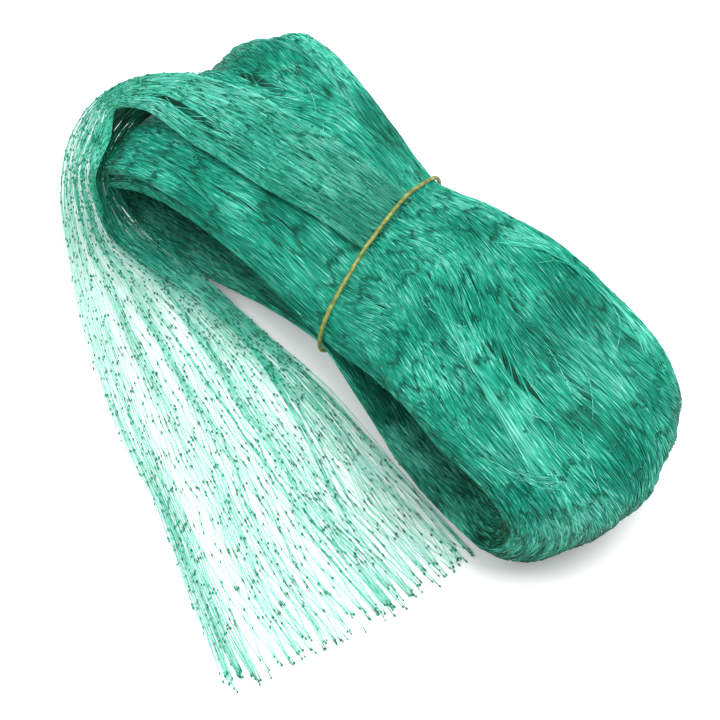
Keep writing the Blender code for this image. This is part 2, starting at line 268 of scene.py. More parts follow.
def spread_evenly(points, count, density):
    """Points at even steps round a closed outline, closer together where density is greater."""
    ring = np.vstack([points, points[:1]])
    steps = np.linalg.norm(np.diff(ring, axis=0), axis=1) * density
    reach = np.concatenate([[0], np.cumsum(steps)])
    wanted = np.arange(count) / count * reach[-1]
    return np.stack([np.interp(wanted, reach, ring[:, axis]) for axis in range(3)], axis=1)


def section_outline(at):
    """One section across the turns, in order far edge, outer face, near edge, inner face."""
    squareness = SQUARE_AT_WAIST + SQUARER * at.spread
    edge_level = EDGE_AT_WAIST + EDGE_LOWER * at.spread
    angle = np.arange(OUTLINE_STEPS) / OUTLINE_STEPS * TURN
    across = np.sign(np.cos(angle)) * np.abs(np.cos(angle)) ** (2 / squareness)
    through = np.abs(np.sin(angle)) ** (2 / squareness)
    outward = np.where(
        np.sin(angle) > 0, edge_level + (1 - edge_level) * through, edge_level * (1 - through)
    )
    shift = np.where(across < 0, at.near_shift, at.far_shift) * np.abs(across) ** SHIFT_EASE
    x = at.inner_x + (at.outer_x - at.inner_x) * outward + shift
    y = (at.near_y + at.far_y) / 2 + across * (at.far_y - at.near_y) / 2
    z = at.inner_z + (at.outer_z - at.inner_z) * outward
    density = 1 + EDGE_DETAIL * np.abs(across) ** EDGE_EASE
    return spread_evenly(np.stack([x, y, z], axis=1), POINTS, density)


def outward_normals(grid):
    """Unit normals of a grid of points that closes both ways."""
    along = np.roll(grid, -1, axis=0) - np.roll(grid, 1, axis=0)
    around = np.roll(grid, -1, axis=1) - np.roll(grid, 1, axis=1)
    normals = np.cross(along, around)
    return normals / np.linalg.norm(normals, axis=2, keepdims=True)


def way_round(points):
    """The length of a closed line through points."""
    return np.linalg.norm(np.diff(points, axis=0, append=points[:1]), axis=1).sum()


station = (np.arange(STATIONS) / STATIONS)[:, None]  # round the loop, 0 to 1
point = (np.arange(POINTS) / POINTS)[None, :]  # round the section, 0 to 1
rows = curve_through(HANK, station[:, 0] * len(HANK), closed=True)
spread = np.clip(rows[:, -1:], 0, 1)
rows[:, -1:] = spread
form = np.array([section_outline(Section(*row)) for row in rows])
form_normals = outward_normals(form)
outside = form[:, POINTS // 4]
loop_length = way_round(outside)
across_mm = way_round(form[0])
print(f"round the outside of the loop: {loop_length:.0f} mm, round a section: {across_mm:.0f} mm")

# %% [markdown]
# ## The lay of the strands
# Strands don't run straight round the loop. On the upper side they slide across the hank towards its
# near edge and come back underneath, so every strand gets its own lane, and a table says how far the
# lanes are shifted at each section. All that follows the strands, such as the partings between them,
# is then placed by its lane.

# %% The lay of the strands
RNG = np.random.default_rng(20)
SHIFTS = (0, 3, 8, 13, 16, 14, 8, 2, 0, 0, 0, 0, 4, 12, 20, 24, 24, 19, 10, 2)  # mm, at each section
LANES_BACK = 20  # rounds of correction that find the lane of a place


def shift_of(along, lane):
    """How far a lane is shifted towards the near edge, as a share of the way round the section."""
    places = (np.asarray(along) % 1) * len(SHIFTS)
    shifts = curve_through(np.array(SHIFTS, float)[:, None], places.ravel(), closed=True)
    return shifts.reshape(places.shape) / across_mm * np.where(lane % 1 < 0.5, np.sin(TURN * lane) ** 2, 0)


def lane_at(along, across):
    lane = across + np.zeros_like(along)
    for _ in range(LANES_BACK):
        lane = across - shift_of(along, lane)
    return lane


def waves(count, along, across):
    """A smooth uneven field, as waves with whole numbers of turns along the loop and across it."""
    turns_along = RNG.integers(-along, along + 1, count)
    turns_across = RNG.integers(across[0], across[1] + 1, count)
    return np.stack([turns_along, turns_across, RNG.uniform(0, 1, count)], axis=1)


def field(waving, along, across):
    """The field's value, about -1 to 1, at shares of the loop's length and of the section's."""
    total = 0
    for turns_along, turns_across, phase in waving:
        total = total + np.sin(TURN * (turns_along * along + turns_across * across + phase))
    return total / math.sqrt(len(waving) / 2)


lane_grid = lane_at(station + 0 * point, point + 0 * station)
print(f"the lanes shift by up to {max(SHIFTS)} mm")

# %% [markdown]
# ## Folds, bundles and partings
# On the solid, shallow waves and a dozen folds give the ring its lay, and they are repeated here. Real
# turns also gather into finer bundles, show as layers at the edges, and part here and there into dark
# slits. The folds are placed in plan, by their two ends, and fade out towards the hank's sides.

# %% Waves and folds of the solid
LAY = ((13, 1, 0.55, 0.0), (5, -1, 0.8, 0.3), (8, 2, 0.45, 0.6))  # lanes, drift, height, phase
LAY_AT_WAIST = 0.15
EDGE_LANES = 15
EDGE_HEIGHT = 1.3
EDGE_STARTS = 0.55

FOLDS = (  # x and y of the start and of the end, width, height
    (30, -2, 107, -38, 7, 3.2),  # the diagonal bundle
    (107, -38, 176, -48, 8, 3.0),
    (50, 6, 128, -20, 7, -2.8),
    (46, -26, 120, -56, 6, -2.2),
    (48, -54, 130, -62, 6, 1.6),
    (92, 22, 172, 12, 12, -3.0),  # the far hollow
    (60, 40, 140, 38, 8, 1.6),
    (128, -8, 182, 2, 11, 1.6),
    (-24, -30, -122, -62, 6, -2.2),
    (-30, -46, -128, -70, 7, 1.8),
    (-50, 36, -165, 34, 18, 2.4),  # the far lobe
    (-60, 12, -160, 12, 7, -3.2),
)
FOLD_TAPER = 14
FOLDS_FROM, FOLDS_FULL = 46, 56  # heights between which the folds begin
TOP_EASE = 1.6


def beside_line(plan, start, end):
    """How far points in plan lie to the left of a fold's line, and how much of the fold is there."""
    line = end - start
    length = np.linalg.norm(line)
    along = (plan - start) @ line / length
    aside = (plan - start) @ np.array([-line[1], line[0]]) / length
    full = np.clip(along / FOLD_TAPER, 0, 1) * np.clip((length - along) / FOLD_TAPER + 1, 0, 1)
    return aside, full


on_top = np.clip(form_normals[:, :, 2] * TOP_EASE, 0, 1)
on_top = on_top * np.clip((form[:, :, 2] - FOLDS_FROM) / (FOLDS_FULL - FOLDS_FROM), 0, 1)
at_edge = np.clip(np.abs(form_normals[:, :, 1]) - EDGE_STARTS, 0, 1) / (1 - EDGE_STARTS)
lay = sum(high * np.sin(TURN * (n * point + drift * station + phase)) for n, drift, high, phase in LAY)
height = lay * (LAY_AT_WAIST + (1 - LAY_AT_WAIST) * spread)
height += EDGE_HEIGHT * np.cos(TURN * EDGE_LANES * point) * at_edge * spread
for *ends, width, high in FOLDS:
    aside, full = beside_line(form[:, :, :2], *np.array(ends, float).reshape(2, 2))
    height += high * full * np.exp(-((aside / width) ** 2)) * on_top
print(f"{len(FOLDS)} folds: the surface moves by {height.min():.1f} to {height.max():.1f} mm")

# %% [markdown]
# A parting is a slit between two strands of the upper side. It is placed by its middle in plan, and
# from there it follows its own lane. The drawn turns lie a little inside the solid's surface, to leave
# room for the threads, and the rubber band squeezes them further in.

# %% Bundles, layers and partings
PARTINGS = (  # x, y, length, half width
    (47, -10, 16, 1.2),
    (77, -13, 18, 1.2),
    (78, -25, 16, 1.4),
    (100, -22, 16, 1.6),
    (112, -24, 26, 2.0),
    (127, -25, 18, 1.5),
    (52, -60, 34, 1.8),
    (84, -46, 26, 1.1),
    (60, 4, 22, 0.9),
    (96, 2, 26, 1.1),
    (140, -8, 24, 0.9),
    (34, -32, 24, 1.2),
    (-32, -32, 26, 1.2),
    (-60, -44, 30, 1.4),
    (-92, -52, 26, 1.1),
    (-40, 4, 24, 0.9),
    (-110, 14, 40, 1.2),
    (-90, 34, 34, 0.8),
)
PARTING_TAPER = 0.35  # share of its half length in which a parting opens, and closes
PARTING_DEPTH = 1.0
FACES_UP = 0.3
BUNDLES, BUNDLE_HEIGHT, BUNDLES_AT_WAIST = 24, 0.3, 0.3
EDGE_LAYERS, EDGE_LAYER_HEIGHT = 62, 0.45  # layers that show at the edges, as if they ran all round
LAYER_WANDER = 0.6  # of a layer's thickness
SKIN_DROP = 0.5
BAND_TURN = math.radians(15.6)  # the band's plane, turned about Z
BAND_REACH = 7.0
BAND_SQUEEZE = 0.4
LOWEST = 0.3


def near_band(points):
    """1 under the rubber band, falling away to both sides of it."""
    apart = points[..., 0] * math.cos(BAND_TURN) + points[..., 1] * math.sin(BAND_TURN)
    return np.exp(-((apart / BAND_REACH) ** 2))


def find_parting(x, y, length, half_width):
    """A parting's lane, where round the loop its middle lies, half its share of that, half its width."""
    apart = np.hypot(form[:, :, 0] - x, form[:, :, 1] - y)
    apart = np.where((form[:, :, 2] > FOLDS_FROM) & (form_normals[:, :, 2] > FACES_UP), apart, np.inf)
    i, j = np.unravel_index(np.argmin(apart), apart.shape)
    return lane_grid[i, j], i / STATIONS, length / loop_length / 2, half_width


def parting_open(along, middle, half):
    """How far open a parting is, from 0 at its ends to 1."""
    apart = np.abs((along - middle + 0.5) % 1 - 0.5)
    return np.clip((half - apart) / (half * PARTING_TAPER), 0, 1)


def slit_at(lane, middle, half, half_width):
    """1 in the middle of a parting, falling away to its sides and its ends."""
    aside = (lane_grid - lane) * across_mm / half_width
    return parting_open(station, middle, half) * np.exp(-(aside**2))


bundles = field(waves(BUNDLES, 6, (38, 84)), station, lane_grid)
height += BUNDLE_HEIGHT * bundles * (BUNDLES_AT_WAIST + (1 - BUNDLES_AT_WAIST) * spread)
layers = EDGE_LAYERS * point + LAYER_WANDER * field(waves(5, 3, (2, 6)), station, point)
height += EDGE_LAYER_HEIGHT * np.cos(TURN * layers) * at_edge * spread
opened = [find_parting(*parting) for parting in PARTINGS]
for slit in opened:
    height -= PARTING_DEPTH * slit_at(*slit)
height -= SKIN_DROP + BAND_SQUEEZE * near_band(form)
surface = form + form_normals * height[:, :, None]
surface[:, :, 2] = np.maximum(surface[:, :, 2], LOWEST)
normals = outward_normals(surface)
print(f"the wound form is {np.ptp(surface[:, :, 0]):.0f} x {np.ptp(surface[:, :, 1]):.0f} mm")

# %% [markdown]
# ## Threads, with Geometry Nodes
# A thread is a tube along a line, so one small tree makes them all: it takes a mesh of bare edges,
# turns each run of edges into a curve, and sweeps a three-sided profile along it. Three sides are
# enough for a thread that is under a pixel wide. The lines carry numbers for each point: the tree
# reads how thick the thread is there, and the material reads how far along it lies, which thread it
# is, how near a row of knots, how deep in shade and how open to the light.


# %% The tree of threads
def new_tree(name, **inputs):
    """An empty Geometry Nodes tree with named inputs, and its group input node."""
    tree = bpy.data.node_groups.new(name, "GeometryNodeTree")
    tree.interface.new_socket("Geometry", in_out="INPUT", socket_type="NodeSocketGeometry")
    for label, (kind, value) in inputs.items():
        socket = tree.interface.new_socket(label, in_out="INPUT", socket_type=kind)
        if value is not None:
            socket.default_value = value
    tree.interface.new_socket("Geometry", in_out="OUTPUT", socket_type="NodeSocketGeometry")
    return tree, add_node(tree, "NodeGroupInput")


def end_tree(tree, made, material):
    """Turns instances into real faces, gives what was made its material, and hands it out."""
    realized = add_node(tree, "GeometryNodeRealizeInstances", None, {"Geometry": made})
    finished = add_node(
        tree, "GeometryNodeSetMaterial", None, {"Geometry": realized, "Material": material}
    )
    add_node(tree, "NodeGroupOutput", None, {"Geometry": finished})


thread_tree, given = new_tree(
    "threads", Sides=("NodeSocketInt", 3), Material=("NodeSocketMaterial", None)
)
curves = add_node(thread_tree, "GeometryNodeMeshToCurve", None, {"Mesh": given})
thick = add_node(
    thread_tree, "GeometryNodeInputNamedAttribute", {"data_type": "FLOAT"}, {"Name": "thick"}
)
profile = add_node(
    thread_tree,
    "GeometryNodeCurvePrimitiveCircle",
    None,
    {"Resolution": given.outputs["Sides"], "Radius": 1.0},
)
swept = add_node(
    thread_tree,
    "GeometryNodeCurveToMesh",
    None,
    {"Curve": curves, "Profile Curve": profile, "Scale": thick, "Fill Caps": True},
)
end_tree(thread_tree, swept, given.outputs["Material"])
print("the tree of threads has", len(thread_tree.nodes), "nodes")

# %% [markdown]
# The tree needs a mesh of lines to work on. It runs as a modifier on a guide object, and the result is
# kept as a plain mesh, so the piece that stays has no modifier.


# %% Lines, and growing a piece from them
def keep_numbers(mesh, label, values):
    """Gives each point of a mesh its number."""
    numbers = mesh.attributes.new(label, "FLOAT", "POINT")
    numbers.data.foreach_set("value", values.astype(np.float32).ravel())


def line_mesh(name, lines, closed, shown=None, **attributes):
    """A mesh of bare edges through lines[line, place], in metres, with numbers at each point."""
    count, places = lines.shape[:2]
    index = np.arange(count * places).reshape(count, places)
    pairs = np.stack([index, np.roll(index, -1, axis=1)], axis=2)
    if not closed:
        pairs = pairs[:, :-1]
    pairs = pairs.reshape(-1, 2)
    if shown is not None:
        pairs = pairs[shown.ravel()[pairs].all(axis=1)]
    used, pairs = np.unique(pairs, return_inverse=True)
    pairs = pairs.reshape(-1, 2)
    mesh = bpy.data.meshes.new(name)
    mesh.vertices.add(len(used))
    mesh.vertices.foreach_set("co", lines.reshape(-1, 3)[used].astype(np.float32).ravel())
    mesh.edges.add(len(pairs))
    mesh.edges.foreach_set("vertices", pairs.astype(np.int32).ravel())
    for label, values in attributes.items():
        keep_numbers(mesh, label, np.broadcast_to(values, (count, places)).ravel()[used])
    return mesh


def grow(name, mesh, tree, **inputs):
    """Runs a tree over a mesh, and keeps the result as a plain piece."""
    guide = add_object(name + "_guide", mesh)
    modifier = guide.modifiers.new("grow", "NODES")
    modifier.node_group = tree
    for item in tree.interface.items_tree:
        if item.in_out == "INPUT" and item.name in inputs:
            modifier[item.identifier] = inputs[item.name]
    evaluated = guide.evaluated_get(bpy.context.evaluated_depsgraph_get())
    result = bpy.data.meshes.new_from_object(evaluated)
    result.name = name
    bpy.data.objects.remove(guide)
    result.calc_loop_triangles()
    print(f"{name}: {len(result.loop_triangles)} triangles")
    return add_object(name, result)


taken = [item.name for item in thread_tree.interface.items_tree if item.in_out == "INPUT"]
print("the tree of threads takes:", ", ".join(taken))

# %% [markdown]
# ## Knots, with Geometry Nodes
# Every knot is the same small hitch, drawn tight until it is twice as long as it is wide. The second
# tree puts a low ball on each point, stretched along its own thread. Thousands are needed, so each has
# only a few faces.

# %% The tree of knots
knot_tree, given = new_tree(
    "knots",
    Width=("NodeSocketFloat", 0.001),
    Length=("NodeSocketFloat", 0.002),
    Material=("NodeSocketMaterial", None),
)
ball = add_node(knot_tree, "GeometryNodeMeshUVSphere", None, {"Segments": 4, "Rings": 3, "Radius": 0.5})
heading = add_node(
    knot_tree, "GeometryNodeInputNamedAttribute", {"data_type": "FLOAT_VECTOR"}, {"Name": "heading"}
)
turned = add_node(knot_tree, "FunctionNodeAlignRotationToVector", {"axis": "Z"}, {"Vector": heading})
size = add_node(knot_tree, "GeometryNodeInputNamedAttribute", {"data_type": "FLOAT"}, {"Name": "size"})
width, length = given.outputs["Width"], given.outputs["Length"]
shape = add_node(knot_tree, "ShaderNodeCombineXYZ", None, {"X": width, "Y": width, "Z": length})
scaled = add_node(knot_tree, "ShaderNodeVectorMath", {"operation": "SCALE"}, {0: shape, "Scale": size})
placed = add_node(
    knot_tree,
    "GeometryNodeInstanceOnPoints",
    None,
    {"Points": given, "Instance": ball, "Rotation": turned, "Scale": scaled},
)
end_tree(knot_tree, placed, given.outputs["Material"])


def draw_knots(name, places, headings, sizes, width, length, material):
    """A piece of knots at places in millimetres, each with the way it lies and how big it is."""
    mesh = bpy.data.meshes.new(name + "_places")
    mesh.vertices.add(len(places))
    mesh.vertices.foreach_set("co", to_frame(places).astype(np.float32).ravel())
    headed = mesh.attributes.new("heading", "FLOAT_VECTOR", "POINT")
    headed.data.foreach_set("vector", headings.astype(np.float32).ravel())
    keep_numbers(mesh, "size", sizes)
    return grow(name, mesh, knot_tree, Width=width * MM, Length=length * MM, Material=material)


print("the tree of knots has", len(knot_tree.nodes), "nodes")

# %% [markdown]
# ## Nylon
# Knotted netting is made from nylon monofilament, drawn through a die and dyed in the melt. Drawing
# leaves it smooth, so it is glossier along than across, and half clear, so light gathers at its bends.
# From a step away that reads as short dashes of light and dark along each thread, which are painted
# highlights and painted shade. A smooth noise with one value for each thread, stretched along it, draws
# them. Real filament is finer than a pixel, so the dashes are drawn as coarse as they need to be to
# show. A slower noise makes whole patches lighter or darker, as a painted satin sheen.

# %% Dashes of light and dark
NYLON_IOR = 1.53
# The painted sheen comes in patches of about this size.
PATCH_SIZE = 0.035  # metres over which the thread grows lighter and darker
PATCH_REACH = 0.68
DASH_DETAIL, PATCH_DETAIL = 1.5, 2.0


def patchy_noise(tree, size, detail):
    """A noise through space, with patches of about the given size in metres."""
    where = add_node(tree, "ShaderNodeTexCoord").outputs["Object"]
    return add_node(
        tree, "ShaderNodeTexNoise", None, {"Vector": where, "Scale": 1 / size, "Detail": detail}
    )


def fibre_noise(tree, place):
    """Dashes along the fibres, slowly lighter and darker from place to place."""
    dashes = add_node(
        tree,
        "ShaderNodeTexNoise",
        {"noise_dimensions": "2D"},
        {"Vector": place, "Scale": 1.0, "Detail": DASH_DETAIL},
    )
    shift = add_node(
        tree,
        "ShaderNodeMath",
        {"operation": "MULTIPLY_ADD"},
        {0: patchy_noise(tree, PATCH_SIZE, PATCH_DETAIL), 1: PATCH_REACH, 2: -PATCH_REACH / 2},
    )
    return add_node(tree, "ShaderNodeMath", {"operation": "ADD"}, {0: dashes, 1: shift})


print(f"patches of {PATCH_SIZE / MM:.0f} mm")

# %% [markdown]
# The rows of knots cross the hank as darker chains. Each thread carries a number that passes a half at
# its own knots, so the material can darken it there. Part of each row lies hidden below other strands,
# so the chains come and go in patches. In the shade the same dashes are read in deeper colours, and
# where the thread lies open to the light, in paler ones.

# %% Drawn nylon
KNOT_GREEN = "#075c45"
SHADED = ((0.30, "#04170c"), (0.46, "#0a4a30"), (0.60, "#127858"), (0.74, "#38ac8c"))
CHAIN_FROM, CHAIN_TO = 0.05, 0.12  # shares of a mesh, off the row: fully dark, and no longer dark
CHAIN_PATCH = 0.022  # metres
CHAIN_HIDDEN, CHAIN_SHOWN = 0.41, 0.51  # values of the patchy noise
CHAIN_DARK = 0.9


def knot_chain(tree, rows):
    """How dark a chain of knots is here, in patches, because part of each row lies hidden."""
    turn = add_node(tree, "ShaderNodeMath", {"operation": "FRACT"}, {0: rows})
    apart = add_node(tree, "ShaderNodeMath", {"operation": "SUBTRACT"}, {0: turn, 1: 0.5})
    apart = add_node(tree, "ShaderNodeMath", {"operation": "ABSOLUTE"}, {0: apart})
    row = add_node(
        tree,
        "ShaderNodeMapRange",
        {"interpolation_type": "SMOOTHSTEP"},
        {"Value": apart, "From Min": CHAIN_FROM, "From Max": CHAIN_TO, "To Min": 1.0, "To Max": 0.0},
    )
    noise = patchy_noise(tree, CHAIN_PATCH, PATCH_DETAIL)
    patch = add_node(
        tree, "ShaderNodeMapRange", None, {"Value": noise, "From Min": CHAIN_HIDDEN, "From Max": CHAIN_SHOWN}
    )
    both = add_node(tree, "ShaderNodeMath", {"operation": "MULTIPLY"}, {0: row, 1: patch})
    return add_node(tree, "ShaderNodeMath", {"operation": "MULTIPLY"}, {0: both, 1: CHAIN_DARK})


def drawn_nylon(name, colours, pale_colours, dash):
    """Thread in dashes of the given colours, dash millimetres long, paler where light is painted on it and
    deeper where shade is.
    """
    material, tree, shader = new_material(name, Roughness=0.42, Specular_IOR_Level=0.18, IOR=NYLON_IOR)
    along, strand, open_, inside, rows = (
        add_node(tree, "ShaderNodeAttribute", {"attribute_name": label}).outputs["Fac"]
        for label in ("along", "strand", "open", "inside", "rows")
    )
    dashes = add_node(tree, "ShaderNodeMath", {"operation": "DIVIDE"}, {0: along, 1: dash})
    value = fibre_noise(tree, add_node(tree, "ShaderNodeCombineXYZ", None, {"X": dashes, "Y": strand}))
    packed, painted_light_ramp, shaded = (
        add_node(tree, "ShaderNodeValToRGB", None, {"Fac": value}, stops)
        for stops in (colours, pale_colours, SHADED)
    )
    colour = packed.outputs["Color"]
    # Painted light turns the dashes to the pale colours, and painted shade to the shaded ones.
    for factor, other in ((open_, painted_light_ramp), (knot_chain(tree, rows), KNOT_GREEN), (inside, shaded)):
        mix = add_node(
            tree, "ShaderNodeMix", {"data_type": "RGBA"}, {"Factor": factor, 6: colour, 7: other}
        )
        colour = mix.outputs[2]
    tree.links.new(colour, shader.inputs["Base Color"])
    return material


THREAD_NYLON = drawn_nylon(
    "drawn green nylon monofilament",
    ((0.28, "#077a60"), (0.44, "#159f82"), (0.58, "#33c2a6"), (0.74, "#86ecd8")),
    ((0.28, "#3fcfae"), (0.44, "#58dfc1"), (0.60, "#7cecd4"), (0.74, "#aaf6e6")),
    8.0,
)
print(THREAD_NYLON.name, "has", len(THREAD_NYLON.node_tree.nodes), "nodes")

# %% [markdown]
# The layers below the drawn threads are the same nylon, seen in the shade between them: a streaked
# skin in deep green, nearly black inside the eyes, where little light reaches. Its streaks follow the
# lanes through a UV map in millimetres.

# %% Packed nylon
STREAK_LONG = 16.0
STREAK_WIDE = 0.9
IN_LIGHT = ((0.30, "#08604a"), (0.46, "#0e7f63"), (0.60, "#1a9a7c"), (0.75, "#33b99b"))
IN_SHADE = ((0.30, "#050a06"), (0.50, "#08231a"), (0.75, "#0f4533"))


def packed_nylon(name):
    """Turns packed so close that they read as one streaked surface."""
    material, tree, shader = new_material(name, Roughness=0.55, Specular_IOR_Level=0.15, IOR=NYLON_IOR)
    turns = add_node(tree, "ShaderNodeUVMap", {"uv_map": "turns"})
    inside = add_node(tree, "ShaderNodeAttribute", {"attribute_name": "inside"}).outputs["Fac"]
    stretched = add_node(
        tree, "ShaderNodeVectorMath", {"operation": "DIVIDE"}, {0: turns, 1: (STREAK_LONG, STREAK_WIDE, 1)}
    )
    value = fibre_noise(tree, stretched)
    lit = add_node(tree, "ShaderNodeValToRGB", None, {"Fac": value}, IN_LIGHT)
    shaded = add_node(tree, "ShaderNodeValToRGB", None, {"Fac": value}, IN_SHADE)
    # Painted shade blends the skin from the lit colours to the shaded ones.
    mix = add_node(tree, "ShaderNodeMix", {"data_type": "RGBA"}, {"Factor": inside, 6: lit, 7: shaded})
    tree.links.new(mix.outputs[2], shader.inputs["Base Color"])
    bump = add_node(tree, "ShaderNodeBump", None, {"Height": value, "Strength": 0.8, "Distance": 0.0006})
    tree.links.new(bump.outputs["Normal"], shader.inputs["Normal"])
    return material


PACKED_NYLON = packed_nylon("packed green nylon in shade")
print(PACKED_NYLON.name, "has", len(PACKED_NYLON.node_tree.nodes), "nodes")

# %% [markdown]
# ## Skin of the lower turns
# Below the threads that are drawn one by one lie thousands more. One closed skin stands for them. Its
# UV map runs along the loop and across it by lanes, so that the streaks lie as the strands do.

# %% Skin of the lower turns
index = np.arange(STATIONS * POINTS).reshape(STATIONS, POINTS)
after = np.roll(index, -1, axis=0)
quads = np.stack([index, after, np.roll(after, -1, axis=1), np.roll(index, -1, axis=1)], axis=2)
skin = bpy.data.meshes.new("wound_turns")
skin.from_pydata(to_frame(surface).reshape(-1, 3).tolist(), [], quads.reshape(-1, 4).tolist())

lane_after = np.roll(lane_grid, -1, axis=0)
lane_beside, lane_after_beside = (
    lanes + (np.roll(lanes, -1, axis=1) - lanes) % 1 for lanes in (lane_grid, lane_after)
)
begins, ends = station + 0 * point, station + 1 / STATIONS + 0 * point
corner_along = np.stack([begins, ends, ends, begins], axis=2)
corner_lane = np.stack([lane_grid, lane_after, lane_after_beside, lane_beside], axis=2)
corners = np.stack([corner_along * loop_length, corner_lane * across_mm], axis=3)
skin.uv_layers.new(name="turns").data.foreach_set("uv", corners.astype(np.float32).ravel())
print("the skin has", len(skin.polygons), "faces")

# %% [markdown]
# Shade is painted into the colour here. It gathers in the two eyes, low down near the table, between
# the bundles at the edges and in the folds of the right heel. It is worked out here once, for each point
# of the skin, and the threads above read the same grid. A few soft spots of painted light and painted
# shade make the upper side paler in places and deeper in others.

# %% Shade and light on the skin
INNER_FACE = 0.75  # where round the section the inner face has its middle
INNER_REACH, INNER_FULL = 0.15, 1.7
INNER_SHADE = ((-135, -105, -70, 60, 110, 150), (1.0, 0.85, 0.62, 0.7, 0.95, 1.0))  # deepest in the eyes
SHADE_HIGH = 40.0
FOOT_SHADE = ((-120, 60, 150), (0.6, 0.9, 0.95))  # by place along the hank: the right end overhangs
GROOVE_SHADE, GROOVE_PLAIN, GROOVE_UNEVEN = 0.6, 0.6, 0.6  # between the bundles at the edges
HEEL_GROOVES, HEEL_SHADE = 21, 0.75  # where the strands turn round the right heel, they part
HEEL_FROM, HEEL_HIGH, HEEL_NEAR = 136.0, 74.0, -22.0
HEEL_FADES = (16, 30, 24)  # mm in x, z and y
HEEL_WANDER = 0.5

# Spots of painted light where the value is above 0, and of painted shade where it is below.
LIGHT_AND_SHADE_SPOTS = (  # x, y, reach, value
    (118, 8, 26, -0.34),
    (56, -6, 22, 0.16),
    (160, 16, 16, 0.14),
    (62, 34, 20, 0.10),
    (22, -44, 22, 0.3),
    (-100, -30, 24, -0.12),
)


def groove_depth(turns):
    return 0.5 - 0.5 * np.cos(TURN * turns)


x, y, z = (surface[:, :, axis] for axis in range(3))
# Painted shade: the inner face is drawn darker, deepest in the eyes, and so is the foot near the table.
inner = np.clip(INNER_FULL - np.abs(point - INNER_FACE) / INNER_REACH, 0, 1)
inner = inner * np.interp(x, *INNER_SHADE)
low = np.clip(1 - z / SHADE_HIGH, 0, 1)
inside = np.maximum(inner, np.interp(x, *FOOT_SHADE) * low)
# Painted shade between the bundles at the edges, and in the partings round the right heel.
uneven = np.clip(GROOVE_PLAIN + GROOVE_UNEVEN * field(waves(6, 4, (2, 6)), station, point), 0, 1)
inside = inside + GROOVE_SHADE * (groove_depth(EDGE_LANES * point) * at_edge * spread) * uneven
at_heel = np.clip((x - HEEL_FROM) / HEEL_FADES[0], 0, 1) * np.clip((HEEL_HIGH - z) / HEEL_FADES[1], 0, 1)
at_heel = at_heel * np.clip((HEEL_NEAR - y) / HEEL_FADES[2], 0, 1)
heel_turns = HEEL_GROOVES * point + HEEL_WANDER * field(waves(6, 6, (2, 9)), station, point)
inside = inside + HEEL_SHADE * at_heel * groove_depth(heel_turns) ** 2
spot_light_and_shade = 0
for spot_x, spot_y, reach, value in LIGHT_AND_SHADE_SPOTS:
    spot_light_and_shade = spot_light_and_shade + value * np.exp(-((np.hypot(x - spot_x, y - spot_y) / reach) ** 2)) * on_top
inside = np.clip(inside - np.minimum(spot_light_and_shade, 0), 0, 1)
# The grid holds the painted shade, and the painted light of the spots.
shades = np.stack([inside, np.maximum(spot_light_and_shade, 0)], axis=2)
print(f"shade from {inside.min():.2f} to {inside.max():.2f}, {inside.mean():.2f} on average")

# %% [markdown]
# The partings get painted shade, darker still, but only on the skin: they are seen between the threads.
# The finished skin also gets a search tree, with which later pieces find the hank's top and keep clear of it.

# %% Finish the skin
# Painted shade in the partings, on the skin only.
for slit in opened:
    inside = np.maximum(inside, slit_at(*slit))
keep_numbers(skin, "inside", inside)
skin.materials.append(PACKED_NYLON)
skin.shade_smooth()
wound_turns = add_object("wound_turns", skin)
hank_skin = BVHTree.FromPolygons(
    [v.co[:] for v in skin.vertices], [p.vertices[:] for p in skin.polygons], all_triangles=False
)
print("wound_turns:", len(skin.polygons) * 2, "triangles")

# %% [markdown]
# ## Strands of the hank
# 1,200 threads lie over that skin, each closed round the loop in its own lane. Neighbours wander
# together, so that they gather into bundles, and each also sways and bobs by itself, so that it
# passes over and under the next. A few cross many others.

# %% How each strand wanders
STRANDS = 1200
THREAD = 0.17  # radius
MEANDER = 2.0  # mm that neighbours wander together
SWAY, CROSSING_SWAY = 0.4, 6.0  # mm that a strand sways by itself, and that one of a few crosses others
SWAYS = 4
CROSSING = 0.04  # share of the strands that cross many others
LEVELS = (0.0, 0.45)
CROSSING_LEVEL = 0.3
BOB = 0.16

lanes = (np.arange(STRANDS) + RNG.uniform(-0.4, 0.4, STRANDS)) / STRANDS
meander = waves(10, 7, (3, 11))
crosses = RNG.uniform(0, 1, STRANDS) < CROSSING
slow_turns = RNG.integers(1, 5, (STRANDS, SWAYS))
sway_turns = np.where(crosses[:, None], slow_turns, RNG.integers(3, 16, (STRANDS, SWAYS)))
sway_phase = RNG.uniform(0, 1, (STRANDS, SWAYS))
sway_reach = np.where(crosses, CROSSING_SWAY, SWAY) * RNG.uniform(0.5, 1.5, STRANDS)
bob_turns = RNG.integers(18, 60, STRANDS)
bob_phase = RNG.uniform(0, 1, STRANDS)
level = RNG.uniform(*LEVELS, STRANDS) + np.where(crosses, CROSSING_LEVEL, 0.0)
print(STRANDS, "strands, of which", crosses.sum(), "cross many others")

# %% [markdown]
# The knots of one row lie side by side where the net was gathered, but no gather is even. From strand
# to strand the row runs in a zigzag, and it also bends slowly along the loop.

# %% Where each strand's knots lie
BAR = 20.0  # mm from knot to knot
ROW_ZIGZAG, ROW_JITTER, ROW_BEND = 5.0, 0.8, 3.0  # mm that knots lie off their row


def zigzag(count, steps, reach):
    """A value for each of a run of strands, in straight runs between turning points."""
    turning = np.cumsum(RNG.integers(*steps, count))
    turning = np.concatenate([[0], turning[turning < count - 1], [count - 1]])
    heights = RNG.uniform(0.4, 1.0, len(turning)) * reach * np.where(np.arange(len(turning)) % 2, 1, -1)
    return np.interp(np.arange(count), turning, heights)


